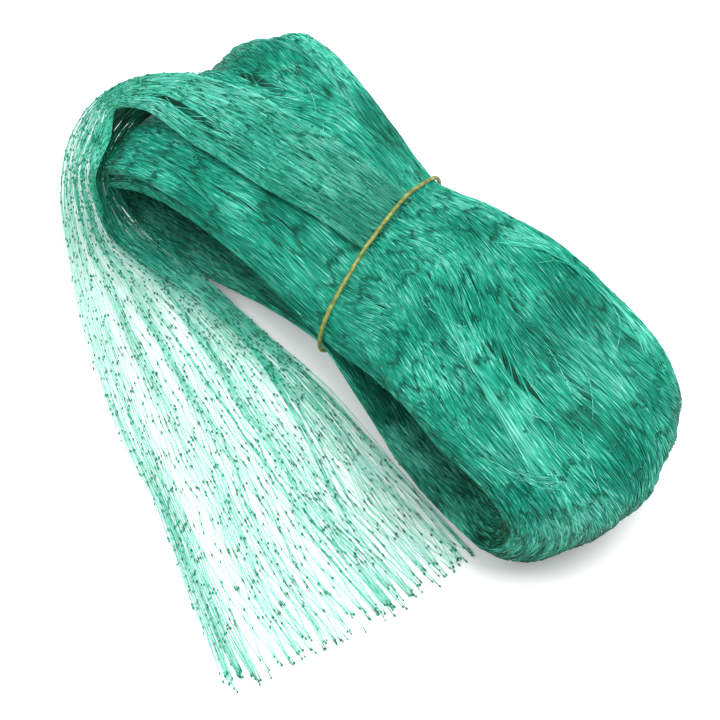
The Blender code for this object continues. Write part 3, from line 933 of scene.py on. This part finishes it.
row_shift = zigzag(STRANDS, (14, 40), ROW_ZIGZAG) + RNG.normal(0, ROW_JITTER, STRANDS)
row_bend = waves(8, 5, (10, 40))


def rows_at(which, along):
    """A number that passes a half at each of a strand's knots."""
    bend = ROW_BEND * field(row_bend, along, lanes[which])
    return (along * loop_length + row_shift[which] + bend) / BAR


print(f"{loop_length / BAR:.0f} rows of knots round the loop")

# %% [markdown]
# A strand's place follows from its lane, which the partings push aside, and from the surface there. It
# is lifted off the skin by its own thickness and level, and less so under the band.

# %% Where a strand runs
UNDER_BAND = 0.85  # share of its lift that a strand loses under the band


def between_points(grid, a, b, closed):
    """A grid's value at row a and column b. An open grid carries on straight past its ends."""
    i, j = np.floor(a).astype(int), np.floor(b).astype(int)
    rows, columns = grid.shape[:2]
    if not closed:
        i, j = np.clip(i, 0, rows - 2), np.clip(j, 0, columns - 2)
    s, t = (a - i)[..., None], (b - j)[..., None]
    i, j, i_after, j_after = i % rows, j % columns, (i + 1) % rows, (j + 1) % columns
    here = grid[i, j] * (1 - s) + grid[i_after, j] * s
    beside = grid[i, j_after] * (1 - s) + grid[i_after, j_after] * s
    return here * (1 - t) + beside * t


def on_grid(grid, along, across):
    """A grid's value at shares along the loop and round the section."""
    return between_points(grid, (along % 1) * STATIONS, (across % 1) * POINTS, closed=True)


def strand_at(which, along, lift=0.0):
    """Strands at shares along the loop: places in millimetres, normals, and shade and light."""
    lane = lanes[which] + MEANDER / across_mm * field(meander, along, lanes[which])
    for k in range(SWAYS):
        turns = sway_turns[which, k] * along + sway_phase[which, k]
        lane = lane + np.sin(TURN * turns) * sway_reach[which] / across_mm / math.sqrt(SWAYS)
    for parting_lane, middle, half, half_width in opened:
        aside = (lane - parting_lane + 0.5) % 1 - 0.5
        width = half_width / across_mm * parting_open(along, middle, half)
        lane = parting_lane + np.where(aside < 0, -1, 1) * np.hypot(aside, width)
    across = lane % 1
    across = across + shift_of(along, across)
    bob = BOB * np.sin(TURN * (bob_turns[which] * along + bob_phase[which]))
    places = on_grid(surface, along, across)
    facing = on_grid(normals, along, across)
    facing /= np.linalg.norm(facing, axis=-1, keepdims=True)
    above = THREAD + (level[which] + bob + lift) * (1 - UNDER_BAND * near_band(places))
    places = places + facing * above[..., None]
    places[..., 2] = np.maximum(places[..., 2], THREAD)
    return places, facing, on_grid(shades, along, across)


start = strand_at(np.arange(STRANDS), np.zeros(STRANDS))[0]
print(f"at the waist's top the strands lie up to {start[:, 2].max():.0f} mm high")

# %% [markdown]
# Each thread has few points, so they are drawn together at the loop's two ends, where it turns
# tightly. What nobody can see, against the ground and between the two runs at the waist, isn't drawn.

# %% Draw the strands
STRAND_PIECES = ("far", "upper", "near", "inner")  # in order round the section
PLACES = 78
TURN_CROWDING, TURN_REACH = 0.8, 4
FACES_DOWN, PRESSED_BELOW = -0.5, 3  # mm
WAIST_HALF, WAIST_MIDDLE, WAIST_GAP = 34, 35, 10  # mm: along the hank, above the ground, either side
THINNEST, THICKER = 0.85, 0.35  # a strand's own share of the usual thickness
SEED_STEP = 1.7  # from thread to thread, in a noise that gives each its own dashes

onward = np.roll(outside, -1, axis=0) - outside
heading = np.arctan2(onward[:, 2], onward[:, 0])
turning = np.abs((np.roll(heading, -1) - heading + math.pi) % TURN - math.pi)
turning = np.convolve(np.pad(turning, TURN_REACH, mode="wrap"), np.ones(2 * TURN_REACH + 1), mode="valid")
crowding = 1 + TURN_CROWDING * turning / turning.mean()
reached = np.concatenate([[0], np.cumsum(crowding)]) / crowding.sum()


def crowded(steps):
    """Shares along the loop at even steps, drawn together where the loop turns tightly at its ends."""
    return np.floor(steps) + np.interp(steps % 1, reached, np.arange(STATIONS + 1) / STATIONS)


def seen(places, facing):
    """False where a strand lies under the hank, or between its two runs at the waist."""
    under = (facing[..., 2] < FACES_DOWN) & (places[..., 2] < PRESSED_BELOW)
    at_waist = np.abs(places[..., 0]) < WAIST_HALF
    between = (np.abs(places[..., 2] - WAIST_MIDDLE) < WAIST_GAP) & (np.abs(facing[..., 2]) > -FACES_DOWN)
    return ~(under | (at_waist & between))


def draw_threads(name, places, closed, shown=None, **numbers):
    """A piece of threads through places[thread, place] in millimetres."""
    lines = line_mesh(name + "_lines", to_frame(places), closed, shown, **numbers)
    return grow(name, lines, thread_tree, Sides=3, Material=THREAD_NYLON)


def draw_strands(name, which):
    begin = RNG.uniform(0, 1, len(which))[:, None]
    along = crowded(begin + (np.arange(PLACES) / PLACES)[None, :])
    which = which[:, None] + np.zeros((1, PLACES), int)
    places, facing, shade = strand_at(which, along)
    return draw_threads(
        name,
        places,
        closed=True,
        shown=seen(places, facing),
        thick=THREAD * MM * (THINNEST + THICKER * (which * 7 % 11) / 11),
        along=along * loop_length,
        strand=which * SEED_STEP,
        rows=rows_at(which, along),
        # Painted shade and painted light, read off the skin's grid.
        inside=shade[..., 0],
        open=shade[..., 1],
    )


strand_pieces = [
    draw_strands("strands_" + name, which)
    for name, which in zip(STRAND_PIECES, np.array_split(np.arange(STRANDS), len(STRAND_PIECES)))
]

# %% [markdown]
# ## Knots of the hank
# The material already draws the chains of knots as darker dashes. A third of the knots also stand up
# as small balls, in patches, because the others have sunk between the strands.

# %% Knotted nylon
SPECKLE = 1 / 600  # metres


def knot_nylon(name, colours):
    """Nylon drawn tight in a knot: the same thread, darker because it lies double."""
    material, tree, shader = new_material(name, Roughness=0.4, Specular_IOR_Level=0.35, IOR=NYLON_IOR)
    noise = patchy_noise(tree, SPECKLE, 1.0)
    colour = add_node(tree, "ShaderNodeValToRGB", None, {"Fac": noise}, colours)
    tree.links.new(colour.outputs["Color"], shader.inputs["Base Color"])
    return material


KNOT_NYLON = knot_nylon("knotted green nylon", ((0.35, "#0a5f48"), (0.50, "#14826a"), (0.65, "#2aa88b")))
OPEN_KNOT_NYLON = knot_nylon(
    "knotted green nylon in the light", ((0.35, "#0d7453"), (0.50, "#168f6b"), (0.65, "#3cb795"))
)
print("two more nylons:", KNOT_NYLON.name, "and", OPEN_KNOT_NYLON.name)

# %% [markdown]
# Every second strand carries the knots that it shares with its neighbour. A few rounds of correction
# bring each one onto its row, and the strand itself gives the direction that it points.

# %% Knots of the hank
KNOT = (0.8, 1.7)  # mm wide and long
KNOTS_SHOWN = 0.32
KNOT_STEP = 0.002  # share of the loop over which a knot's direction is taken
KNOT_LIFT = 0.1
KNOT_SLIP = 0.7  # mm
KNOT_SIZES = (0.8, 1.15)
ROUNDS = 3

row = np.arange(int(loop_length / BAR))[None, :] + 0.5
which = np.arange(STRANDS)[::2, None] + np.zeros(row.shape, int)
along = row * BAR / loop_length + 0.0 * which
for _ in range(ROUNDS):
    along = along + (row - rows_at(which, along)) * BAR / loop_length
along = along + RNG.normal(0, KNOT_SLIP, along.shape) / loop_length
patches = field(waves(12, 9, (6, 30)), along, lanes[which])
places, facing, _ = strand_at(which, along, KNOT_LIFT)
onward, _, _ = strand_at(which, along + KNOT_STEP, KNOT_LIFT)
shown = (patches > np.quantile(patches, 1 - KNOTS_SHOWN)) & seen(places, facing)
sizes = RNG.uniform(*KNOT_SIZES, shown.sum())
headings = (onward - places)[shown]
hank_knots = draw_knots("strand_knots", places[shown], headings, sizes, *KNOT, KNOT_NYLON)

# %% [markdown]
# ## Crossing bundles and stray threads
# Winding a net by hand is never tidy. Here and there a bundle slips and lies slantwise over the
# others, pinched in its middle, and single threads stand up in low arcs. Each bundle follows a few
# places in plan, dropped onto the hank from above, and its ends sink in between the other strands.

# %% Dropping lines onto the hank
ABOVE_ALL = 200


def hank_top(x, y):
    """The height of the hank's top at a place in plan, or None beside the hank."""
    hit = hank_skin.ray_cast(Vector(to_frame((x, y, ABOVE_ALL))), Vector((0, 0, -1)))[0]
    return None if hit is None else hit.z / MM


def drop(plan, lift):
    """Points in plan, set on the hank's top and lifted off it."""
    tops = [hank_top(x, y) for x, y in plan]
    low = min(top for top in tops if top is not None)
    return np.column_stack([plan, [low if top is None else top for top in tops] + lift])


print(f"the waist's top is {hank_top(0, 0):.1f} mm high")

# %% Crossing bundles and stray threads
CROSSINGS = (  # how many threads, how wide, and the places in plan that they pass
    (54, 4.5, ((34, -4), (69, -23), (91, -33), (107, -40), (135, -47), (156, -50), (172, -47))),
    (26, 3.0, ((30, 8), (58, -4), (84, -20), (112, -28), (142, -34))),
    (40, 6.0, ((44, 34), (71, 41), (97, 42), (134, 40), (160, 34))),
    (30, 4.5, ((110, -60), (136, -61), (158, -54), (173, -42))),
    (24, 4.0, ((-34, -46), (-64, -54), (-96, -56), (-126, -62))),
    (20, 4.0, ((-50, 40), (-90, 46), (-125, 40), (-148, 30))),
)
CROSSING_POINTS = 34
CROSSING_HIGH = (0.8, 2.0)
# Painted light: the crossing bundles, and more so the stray threads that stand up in arcs, are drawn paler.
CROSSING_PALE, STRAY_PALE = 0.25, 0.8
LEAN = 0.35  # share of the bundle's width that a thread wanders across it
PINCHED = 0.3  # how wide the bundle still is in its middle
SUNK = -0.7
STRAYS = 22
STRAY_LENGTH = (10, 34)
STRAY_HIGH, STRAY_FOOT, STRAY_BOW = (1.4, 3.2), 0.4, 5
CROSSING_LENGTH, CROSSING_SEED, CROSSING_ROW_STEP = 90.0, 2.9, 0.03

crossing_lines = []
t = np.linspace(0, 1, CROSSING_POINTS)
for count, width, passed in CROSSINGS:
    middle = curve_through(np.array(passed, float), t * (len(passed) - 1), closed=False)
    onward = np.gradient(middle, axis=0)
    sideways = np.stack([-onward[:, 1], onward[:, 0]], axis=1) / np.linalg.norm(onward, axis=1, keepdims=True)
    for offset in np.linspace(-1, 1, count):
        leaned = offset + LEAN * np.sin(TURN * (RNG.uniform(0.4, 1.2) * t + RNG.uniform(0, 1)))
        aside = width * leaned * (PINCHED + (1 - PINCHED) * (2 * t - 1) ** 2)
        begin, end = RNG.uniform(0, 0.12), RNG.uniform(0.88, 1)
        rising = np.sin(math.pi * np.clip((t - begin) / (end - begin), 0, 1)) ** 0.5
        lift = SUNK + (RNG.uniform(*CROSSING_HIGH) - SUNK) * rising
        crossing_lines.append(drop(middle + sideways * aside[:, None], lift))
for _ in range(STRAYS):
    start = np.array((RNG.uniform(-135, 165), RNG.uniform(-44, 40)))
    heading = RNG.uniform(-0.75, 0.6) + (math.pi if start[0] < 0 else 0)
    line = np.array((math.cos(heading), math.sin(heading)))
    reach = t * RNG.uniform(*STRAY_LENGTH)
    bowed = np.sin(math.pi * t) * RNG.uniform(-STRAY_BOW, STRAY_BOW)
    plan = start + reach[:, None] * line + bowed[:, None] * np.array((-line[1], line[0]))
    high = RNG.uniform(*STRAY_HIGH) * np.sin(math.pi * t) ** 0.7
    crossing_lines.append(drop(plan, high + STRAY_FOOT))

crossing_lines = np.array(crossing_lines)
number = np.arange(len(crossing_lines))[:, None]
crossing_threads = draw_threads(
    "crossing_threads",
    crossing_lines,
    closed=False,
    thick=THREAD * MM,
    along=t * CROSSING_LENGTH,
    strand=number * CROSSING_SEED,
    rows=t * (CROSSING_LENGTH / BAR) + CROSSING_ROW_STEP * number,
    inside=0.0,
    open=np.where(number < len(number) - STRAYS, CROSSING_PALE, STRAY_PALE),
)

# %% [markdown]
# ## Where the loose end lies
# The loose end is the outermost turn. It comes out from under the band, lies on the hank's top, lifts
# over the left end and turns down beside it, then fans out on the table. Its two edges repeat the
# table of the CAD source, a row for each place along it.

# %% Where the loose end lies
STRIP = (  # x, y and z of the inner and of the outer edge, crown, and 1 where it is laid on the hank
    (6, -13, 63, -6, 30, 60, 0, 1),  # under the band
    (-22, -19, 70, -32, 24, 70, 1, 1),
    (-56, -31, 80, -68, 14, 80, 1.5, 1),
    (-92, -40, 85, -102, 4, 86, 2, 1),
    (-121, -45, 87, -124, -13, 89, 3, 0),
    (-135, -52, 86, -140, -35, 91, 3, 0),  # lip
    (-141, -56, 80, -150, -56, 84, 3, 0),
    (-134, -65, 73, -153, -72, 70, 3, 0),
    (-131, -78, 61, -149, -85, 55, 3, 0),
    (-133, -79, 40, -138, -98, 37, 3, 0),
    (-126, -75, 9, -120, -110, 20, 2, 0),
    (-98, -64, 0, -97, -123, 7, 1, 0),
    (-74, -60, 0, -70, -135, 0, 0, 0),  # start of the fan
    (-36, -57, 0, -28, -152, 0, 0, 0),
    (14, -57, 0, 18, -166, 0, 0, 0),
    (72, -62, 0, 62, -184, 0, 0, 0),
    (134, -67, 0, 110, -202, 0, 0, 0),  # hem
)
STRIP_SAMPLES = 600
STRIP_PLACES, STRIP_ACROSS = 160, 33
NET_OVER_HANK = 1.9  # from the skin of the lower turns to the lowest thread
EDGE_CURL, CURL_WIDTH = 1.8, 0.12  # the near edge stands up a little, so it shades the turns beside it


def lay_strip(table):
    """A strip between two edges, laid on the hank's top: its grid of points, its normals, its length."""
    fine = curve_through(np.array(table, float), np.linspace(0, len(table) - 1, STRIP_SAMPLES), closed=False)
    middle = (fine[:, 0:3] + fine[:, 3:6]) / 2
    reach = np.concatenate([[0], np.cumsum(np.linalg.norm(np.diff(middle, axis=0), axis=1))])
    even = np.stack([np.interp(np.linspace(0, reach[-1], STRIP_PLACES), reach, c) for c in fine.T], axis=1)
    across = np.linspace(0, 1, STRIP_ACROSS)
    grid = even[:, None, 0:3] + (even[:, None, 3:6] - even[:, None, 0:3]) * across[None, :, None]
    laid = np.clip(even[:, 7:8], 0, 1)
    bulge = even[:, 6:7] * 4 * across * (1 - across) + EDGE_CURL * laid * np.exp(-across / CURL_WIDTH)
    grid[:, :, 2] += bulge
    for i, j in np.ndindex(STRIP_PLACES, STRIP_ACROSS):
        top = hank_top(*grid[i, j, :2]) if laid[i] > 0 else None
        if top is not None:
            lying = top + NET_OVER_HANK + bulge[i, j]
            grid[i, j, 2] = max(lying, lying * laid[i, 0] + grid[i, j, 2] * (1 - laid[i, 0]))
    grid[:, :, 2] = np.maximum(grid[:, :, 2], 0)
    facing = np.cross(np.gradient(grid, axis=1), np.gradient(grid, axis=0))
    return grid, facing / np.linalg.norm(facing, axis=2, keepdims=True), reach[-1]


strip, strip_normals, strip_length = lay_strip(STRIP)
hem_width = np.linalg.norm(strip[-1, -1] - strip[-1, 0])
print(f"the loose end is {strip_length:.0f} mm long, and {hem_width:.0f} mm wide at its hem")

# %% [markdown]
# A strand of the net is placed by its shares of the strip's length and width, lifted along the strip's
# normal. Where that would take it into the hank, it is moved straight out from the nearest skin.

# %% Places on a strip
CLEAR_OF_HANK = 1.0
HANK_SEARCH = 5.0


def on_strip(grid, share, across):
    """The strip's value at shares of its length and width."""
    return between_points(grid, share * (STRIP_PLACES - 1), across * (STRIP_ACROSS - 1), closed=False)


def net_on(grid, facing, share, across, radius, deep):
    """Places of strands on a strip, deep millimetres above it, clear of the hank and the table."""
    lifted = on_strip(facing, share, across) * (radius + deep)[..., None]
    places = on_strip(grid, share, across) + lifted
    for place in places.reshape(-1, 3):
        found, out, _, _ = hank_skin.find_nearest(Vector(to_frame(place)), HANK_SEARCH * MM)
        if found is not None and (Vector(to_frame(place)) - found).dot(out) < CLEAR_OF_HANK * MM:
            place[:] = np.array(found + out * CLEAR_OF_HANK * MM) / MM - WAIST
    places[..., 2] = np.maximum(places[..., 2], radius)
    return places


print("the middle of the fan's start:", on_strip(strip, np.array(0.7), np.array(0.5)).round(), "mm")

# %% [markdown]
# ## The loose net
# Twenty-four rows of meshes show. In a knotted net every strand meets its left neighbour at one row
# of knots and its right neighbour at the next, so a strand's place follows from its row's knots: here
# they lie in uneven gaps, drawn together in bundles that last for a few rows.

# %% How a knotted net lies
NET_ROWS = 24
STEPS = 3  # points of a strand for each bar
ROW_HELD, BUNDLE_HELD = 0.96, 0.975  # how much of its unevenness a row passes on to the next
ROW_UNEVEN, BUNDLE_UNEVEN = 0.5, 0.45
ROW_BUNDLE = 5  # strands to each side that bundle together
SPARSE_WIDTH = 0.16  # how far in from the near edge the strands lie further apart
HEM_BULGE = 7.0
TUFTS, TUFT_RAGGED, TUFT_DRAWN = 23, 5.5, 0.4  # bundles at the hem, how far their ends differ, how tight
HEM_RAGGED = 3.0
NET_ZIGZAG, NET_ZIGZAG_CHANGE = 10.0, 1.5  # mm that the first row's knots lie off it, and each row's more
NET_JITTER, NET_ROW_JITTER = 1.5, 0.8


def smoothed(values, reach):
    kernel = np.hanning(2 * reach + 3)[1:-1]
    return np.convolve(np.pad(values, reach, mode="reflect"), kernel / kernel.sum(), mode="valid")


def bundled(count):
    """Uneven values that neighbours share, at about the size of those that they don't."""
    return smoothed(RNG.normal(0, 1, count), ROW_BUNDLE) * 3


def uneven_rows(count, rows, sparse):
    """For each row of knots, where evenly spaced strands lie across it once they gather in bundles."""
    spaced = 1 + sparse * np.exp(-np.arange(count) / count / SPARSE_WIDTH)
    fine = RNG.normal(0, 1, count)
    broad = bundled(count)
    placed = []
    for _ in range(rows):
        fine = ROW_HELD * fine + math.sqrt(1 - ROW_HELD**2) * RNG.normal(0, 1, count)
        broad = BUNDLE_HELD * broad + math.sqrt(1 - BUNDLE_HELD**2) * bundled(count)
        gaps = np.exp(ROW_UNEVEN * smoothed(fine, 1) + BUNDLE_UNEVEN * broad) * spaced
        edges = np.concatenate([[0], np.cumsum(gaps)])
        placed.append(edges / edges[-1])
    return placed


def knotted_strands(count, sparse):
    """Where each strand of one layer of net runs: its shares of the strip's length and width by step."""
    strands = np.arange(count)
    warps = uneven_rows(count, NET_ROWS + 1, sparse)
    half = count // 2 + 1
    shifts = zigzag(half, (2, 7), NET_ZIGZAG) + RNG.normal(0, NET_JITTER, half)
    tufts = RNG.uniform(-1, 1, TUFTS)
    knot_across = np.zeros((NET_ROWS + 1, count))
    knot_share = np.zeros((NET_ROWS + 1, count))
    for k in range(NET_ROWS + 1):
        node = (strands + k % 2) // 2
        centre = np.clip((2 * node + 1 - k % 2) / count, 0, 1)
        knot_across[k] = np.interp(centre, np.arange(count + 1) / count, warps[k])
        shifts = shifts + zigzag(half, (3, 9), NET_ZIGZAG_CHANGE)
        away = shifts[node] + RNG.normal(0, NET_ROW_JITTER, half)[node]
        if k == NET_ROWS:
            tuft = np.minimum((knot_across[k] * TUFTS).astype(int), TUFTS - 1)
            knot_across[k] += TUFT_DRAWN * ((tuft + 0.5) / TUFTS - knot_across[k])
            away = HEM_BULGE * 4 * knot_across[k] * (1 - knot_across[k]) + TUFT_RAGGED * tufts[tuft]
            away = away + RNG.uniform(-HEM_RAGGED, HEM_RAGGED, half)[node]
        knot_share[k] = (k * BAR + away) / (NET_ROWS * BAR)
    whole = np.arange(NET_ROWS * STEPS + 1) / STEPS
    share = np.array([np.interp(whole, np.arange(NET_ROWS + 1), s) for s in knot_share.T])
    side = np.array([np.interp(whole, np.arange(NET_ROWS + 1), c) for c in knot_across.T])
    return np.clip(share, 0, None), side, whole


def knots_on(places, rows):
    """Each row's knots lie where two neighbouring strands meet: their places and directions."""
    knots = []
    for k in rows:
        at = places[k % 2 :: 2, k * STEPS]
        before = places[k % 2 :: 2, k * STEPS - 1]
        knots.append(np.concatenate([at, at - before], axis=1))
    return np.concatenate(knots)


print(f"{NET_ROWS} rows of meshes make {NET_ROWS * BAR:.0f} mm of net")

# %% [markdown]
# Three such layers lie over each other, because the net's whole width is gathered into a hand's
# breadth. Past the lip the strands draw into a few bundles, which loosen again on the table, and a few
# slits open on the hank's top. Packed threads are drawn thicker, because each stands for several.

# %% Three layers of loose net
NET_LAYERS = 3
NET_STRANDS = 96  # in each layer
SPARSE = 1.0  # how much further apart strands lie beside the hank
LAYER_STEP = 0.45
LAYERS_APART = 0.035  # share of the width that gathered layers lie off each other
OPENS_FROM, OPENS_FULL = 0.28, 0.37  # share of the strip's length where it comes to lie open
# Painted light: the net is drawn paler where it lies on the hank's top.
PAINTED_LIGHT_ON_HANK = 0.42  # how pale the net is where it lies on the hank
# The next tables are by share of the strip's length: radius, painted shade near the band and at the
# lip, and where the strands are gathered.
NET_THREADS = ((0.27, 0.34, 0.48, 0.62, 1), (0.18, 0.085, 0.075, 0.085, 0.125))
NET_SHADE = ((0.0, 0.06, 0.14, 0.24, 0.3, 0.36), (0.35, 0.3, 0.0, 0.0, 0.25, 0.05))
GATHERS = ((0.26, 0.36, 0.46, 0.78), (0, 1, 1, 0))
GATHERED = (  # across the strip, from where to where
    (0, 0.42, 0.48, 0.64, 0.7, 0.83, 0.87, 0.93, 0.96, 1),
    (0, 0.12, 0.28, 0.38, 0.52, 0.6, 0.74, 0.8, 0.93, 1),
)
SLITS = (  # start and end along the strip, place across it and half width, all as shares
    (0.18, 0.30, 0.31, 0.055),
    (0.04, 0.13, 0.28, 0.02),
    (0.07, 0.20, 0.62, 0.015),
)
SLIT_TAPER = 0.03

net_places = []
# Of these numbers, how shaded is painted shade and how open is painted light.
net_lines = []  # for each point: how far along, how thick, which row, how shaded, how open
net_knots = []
for layer in range(NET_LAYERS):
    share, side, whole = knotted_strands(NET_STRANDS, SPARSE)
    for start, end, across, half_width in SLITS:
        in_slit = np.clip((share - start) / SLIT_TAPER, 0, 1) * np.clip((end - share) / SLIT_TAPER, 0, 1)
        aside = side - across
        side = across + np.where(aside < 0, -1, 1) * np.hypot(aside, half_width * in_slit)
    gathered = np.interp(side, *GATHERED) + (layer - 1) * LAYERS_APART
    side = side + np.interp(share, *GATHERS) * (gathered - side)
    stacked = (layer + RNG.uniform(0.1, 0.9, (NET_STRANDS, 1))) * LAYER_STEP
    radius = np.interp(share, *NET_THREADS)
    places = net_on(strip, strip_normals, share, side, radius, stacked)
    # Painted light: where the net lies open on the table its thin strands are drawn paler, and on the hank at
    # least as pale as set above.
    open_share = np.clip((share - OPENS_FROM) / (OPENS_FULL - OPENS_FROM), 0, 1)
    # Painted shade near the band and at the lip.
    shaded = np.interp(share, *NET_SHADE)
    length = share * NET_ROWS * BAR
    net_lines.append(np.stack([length, radius, whole + 0 * share, shaded, np.maximum(open_share, PAINTED_LIGHT_ON_HANK)]))
    net_places.append(places)
    net_knots.append(knots_on(places, range(1, NET_ROWS + 1)))
print(NET_LAYERS * NET_STRANDS, "strands in", NET_LAYERS, "layers")

# %% [markdown]
# ## The gathered edge
# At the lip the inner part of the net doesn't lift with the rest. It drops over the hank's left end,
# hugs it and runs on along its foot, as a dense bunch that opens into the fan's near side, where its
# strands end one by one. It has the same knotted strands, on a narrow strip of its own.

# %% The gathered edge
BUNCH = (  # as in STRIP
    (-60, -24, 80, -64, -8, 80, 0, 1),
    (-96, -34, 84, -100, -14, 85, 0, 1),
    (-122, -40, 82, -126, -20, 83, 0, 0),
    (-129, -27, 76, -147, -38, 79, 0, 0),
    (-136, -37, 67, -152, -50, 68, 0, 0),
    (-135, -57, 58, -150, -64, 58, 0, 0),
    (-131, -66, 45, -144, -73, 45, 0, 0),
    (-125, -67, 32, -136, -78, 30, 0, 0),
    (-112, -64, 20, -123, -79, 14, 0, 0),
    (-90, -59, 11, -99, -74, 4, 0, 0),
    (-62, -57, 4, -67, -69, 2, 0, 0),
    (-30, -56, 1, -28, -68, 1, 0, 0),
    (20, -54, 0, 20, -80, 0, 0, 0),
    (72, -60, 0, 68, -98, 0, 0, 0),
    (126, -68, 0, 118, -118, 0, 0, 0),
)
BUNCH_STRANDS = 124
BUNCH_THREAD, BUNCH_OPEN_THREAD = 0.27, 0.09
BUNCH_DEEP = 3.5
BUNCH_SHORT = 0.5  # its strands end one by one over this share of its length
# The next tables are by share of its length. Under the lip little light reaches it, and it is pressed
# together, so it leaves no gaps.
BUNCH_SHADE = ((0.0, 0.2, 0.3, 0.4, 0.5), (0.0, 0.9, 0.9, 0.3, 0.0))
BUNCH_EVEN = ((0.35, 0.5), (1.0, 0.0))
# How far the bunch has opened out: this thins its threads, and is also its painted light, paler where it lies
# open on the table.
BUNCH_OPENS = ((0.0, 0.45, 0.65), (0.1, 0.2, 0.95))

bunch, bunch_normals, bunch_length = lay_strip(BUNCH)
share, side, whole = knotted_strands(BUNCH_STRANDS, 0)
share = share * NET_ROWS * BAR / bunch_length
evenly = np.arange(BUNCH_STRANDS)[:, None] / BUNCH_STRANDS
side = side + np.interp(share, *BUNCH_EVEN) * (evenly - side)
opened_out = np.interp(share, *BUNCH_OPENS)
radius = BUNCH_THREAD + (BUNCH_OPEN_THREAD - BUNCH_THREAD) * opened_out
deep = RNG.uniform(0, BUNCH_DEEP, (BUNCH_STRANDS, 1)) * (1 - opened_out)
places = net_on(bunch, bunch_normals, share, side, radius, deep)
bunch_ends = 1 - BUNCH_SHORT * RNG.uniform(0, 1, (BUNCH_STRANDS, 1))
# Painted shade under the lip.
shaded = np.interp(share, *BUNCH_SHADE)
net_lines.append(np.stack([share * bunch_length, radius, whole + 0 * share, shaded, opened_out]))
net_places.append(places)
net_knots.append(knots_on(places, range(6, int(bunch_length / BAR) - 5)))
shown = np.concatenate([np.ones((NET_LAYERS * NET_STRANDS, len(whole)), bool), share < bunch_ends])
print(f"the bunch has {BUNCH_STRANDS} strands and is {bunch_length:.0f} mm long")

# %% [markdown]
# One piece takes the strands of all layers and of the gathered edge, and one takes their knots. Where
# a strand runs down steeply, its knots reach further down too, so they are lifted by their own reach to
# stay off the table, and most work their way up between the strands.

# %% Draw the net and its knots
OPEN_KNOT = (1.08, 1.7)  # mm wide and long
OPEN_KNOT_LIFT = 0.35
OPEN_KNOT_SIZES = (0.8, 1.2)

along, radius, knot_rows, shaded, opened_out = np.concatenate(net_lines, axis=1)
net = draw_threads(
    "loose_net",
    np.concatenate(net_places),
    closed=False,
    shown=shown,
    thick=radius * MM,
    along=along,
    strand=np.arange(len(along))[:, None] * SEED_STEP,
    rows=knot_rows + 0.5,
    # Painted shade and painted light of all the net's strands.
    inside=shaded,
    open=opened_out,
)

net_knots = np.concatenate(net_knots)
sizes = RNG.uniform(*OPEN_KNOT_SIZES, len(net_knots))
steep = np.abs(net_knots[:, 5]) / np.linalg.norm(net_knots[:, 3:], axis=1)
reach = sizes * (OPEN_KNOT[0] + steep * OPEN_KNOT[1]) / 2
net_knots[:, 2] = np.maximum(net_knots[:, 2], reach) + OPEN_KNOT_LIFT * RNG.uniform(0, 1, len(net_knots))
knots_of_net = draw_knots(
    "loose_net_knots", net_knots[:, :3], net_knots[:, 3:], sizes, *OPEN_KNOT, OPEN_KNOT_NYLON
)

# %% [markdown]
# ## The rubber band
# A plain thin band of natural rubber is stretched round the waist, over the root of the loose end. The
# CAD band already lies on its route, so its outermost points give the route back.

# %% The band's route
BAND_SIDES = 12
BAND_POINTS = 144
BAND_RADIUS = 1.05

band_across = np.array([-math.sin(BAND_TURN), math.cos(BAND_TURN), 0])
band_points = np.array([v.co[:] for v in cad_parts["rubber_band"].data.vertices]) / MM - WAIST
flat_points = np.stack([band_points @ band_across, band_points[:, 2]], axis=1)
hull = flat_points[convex_hull_2d([Vector(p) for p in flat_points])]
outline = spread_evenly(np.column_stack([hull, np.zeros(len(hull))]), BAND_POINTS, np.ones(len(hull)))[:, :2]
tangent = np.roll(outline, -1, axis=0) - np.roll(outline, 1, axis=0)
inward = np.stack([-tangent[:, 1], tangent[:, 0]], axis=1)
inward /= np.linalg.norm(inward, axis=1, keepdims=True)
inward *= np.sign(((outline.mean(axis=0) - outline) * inward).sum(axis=1, keepdims=True))
route = outline + inward * BAND_RADIUS
route = route[:, :1] * band_across + route[:, 1:] * np.array([0, 0, 1])
print(f"the band is stretched to {way_round(route):.0f} mm round")

# %% [markdown]
# Bands are cut from an extruded tube of natural rubber, cured and dusted with talc. That gives a dull
# amber green with a soft highlight, a little cloudy, because light enters it.


# %% The rubber band
RUBBER = ((0.35, "#5f6b2a"), (0.55, "#8a9140"), (0.75, "#b0b066"))
CLOUD = 1 / 350  # metres


def rubber(name):
    """Natural rubber: cloudy, finely pitted, and lit a little from within."""
    material, tree, shader = new_material(
        name, Roughness=0.5, Subsurface_Weight=0.15, Subsurface_Scale=0.001
    )
    noise = patchy_noise(tree, CLOUD, 3.0)
    colour = add_node(tree, "ShaderNodeValToRGB", None, {"Fac": noise}, RUBBER)
    tree.links.new(colour.outputs["Color"], shader.inputs["Base Color"])
    bump = add_node(tree, "ShaderNodeBump", None, {"Height": noise, "Strength": 0.3, "Distance": 0.0002})
    tree.links.new(bump.outputs["Normal"], shader.inputs["Normal"])
    return material


band = grow(
    "stretched_band",
    line_mesh("stretched_band_line", to_frame(route)[None], closed=True, thick=BAND_RADIUS * MM),
    thread_tree,
    Sides=BAND_SIDES,
    Material=rubber("natural rubber"),
)
band.data.shade_smooth()

# %% [markdown]
# ## Riding and hiding
# Nothing moves, so every piece rides on the one body. The wound solid, the loose one and the band are
# hidden, and the skin and its strands, the net and the round cord are drawn in their places.

# %% Riding and hiding
hank_pieces = (wound_turns, *strand_pieces, hank_knots, crossing_threads)
net_pieces = (net, knots_of_net)
for piece in (*hank_pieces, *net_pieces, band):
    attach(piece, "root")
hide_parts("netting_hank")
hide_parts("loose_end")
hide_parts("rubber_band")
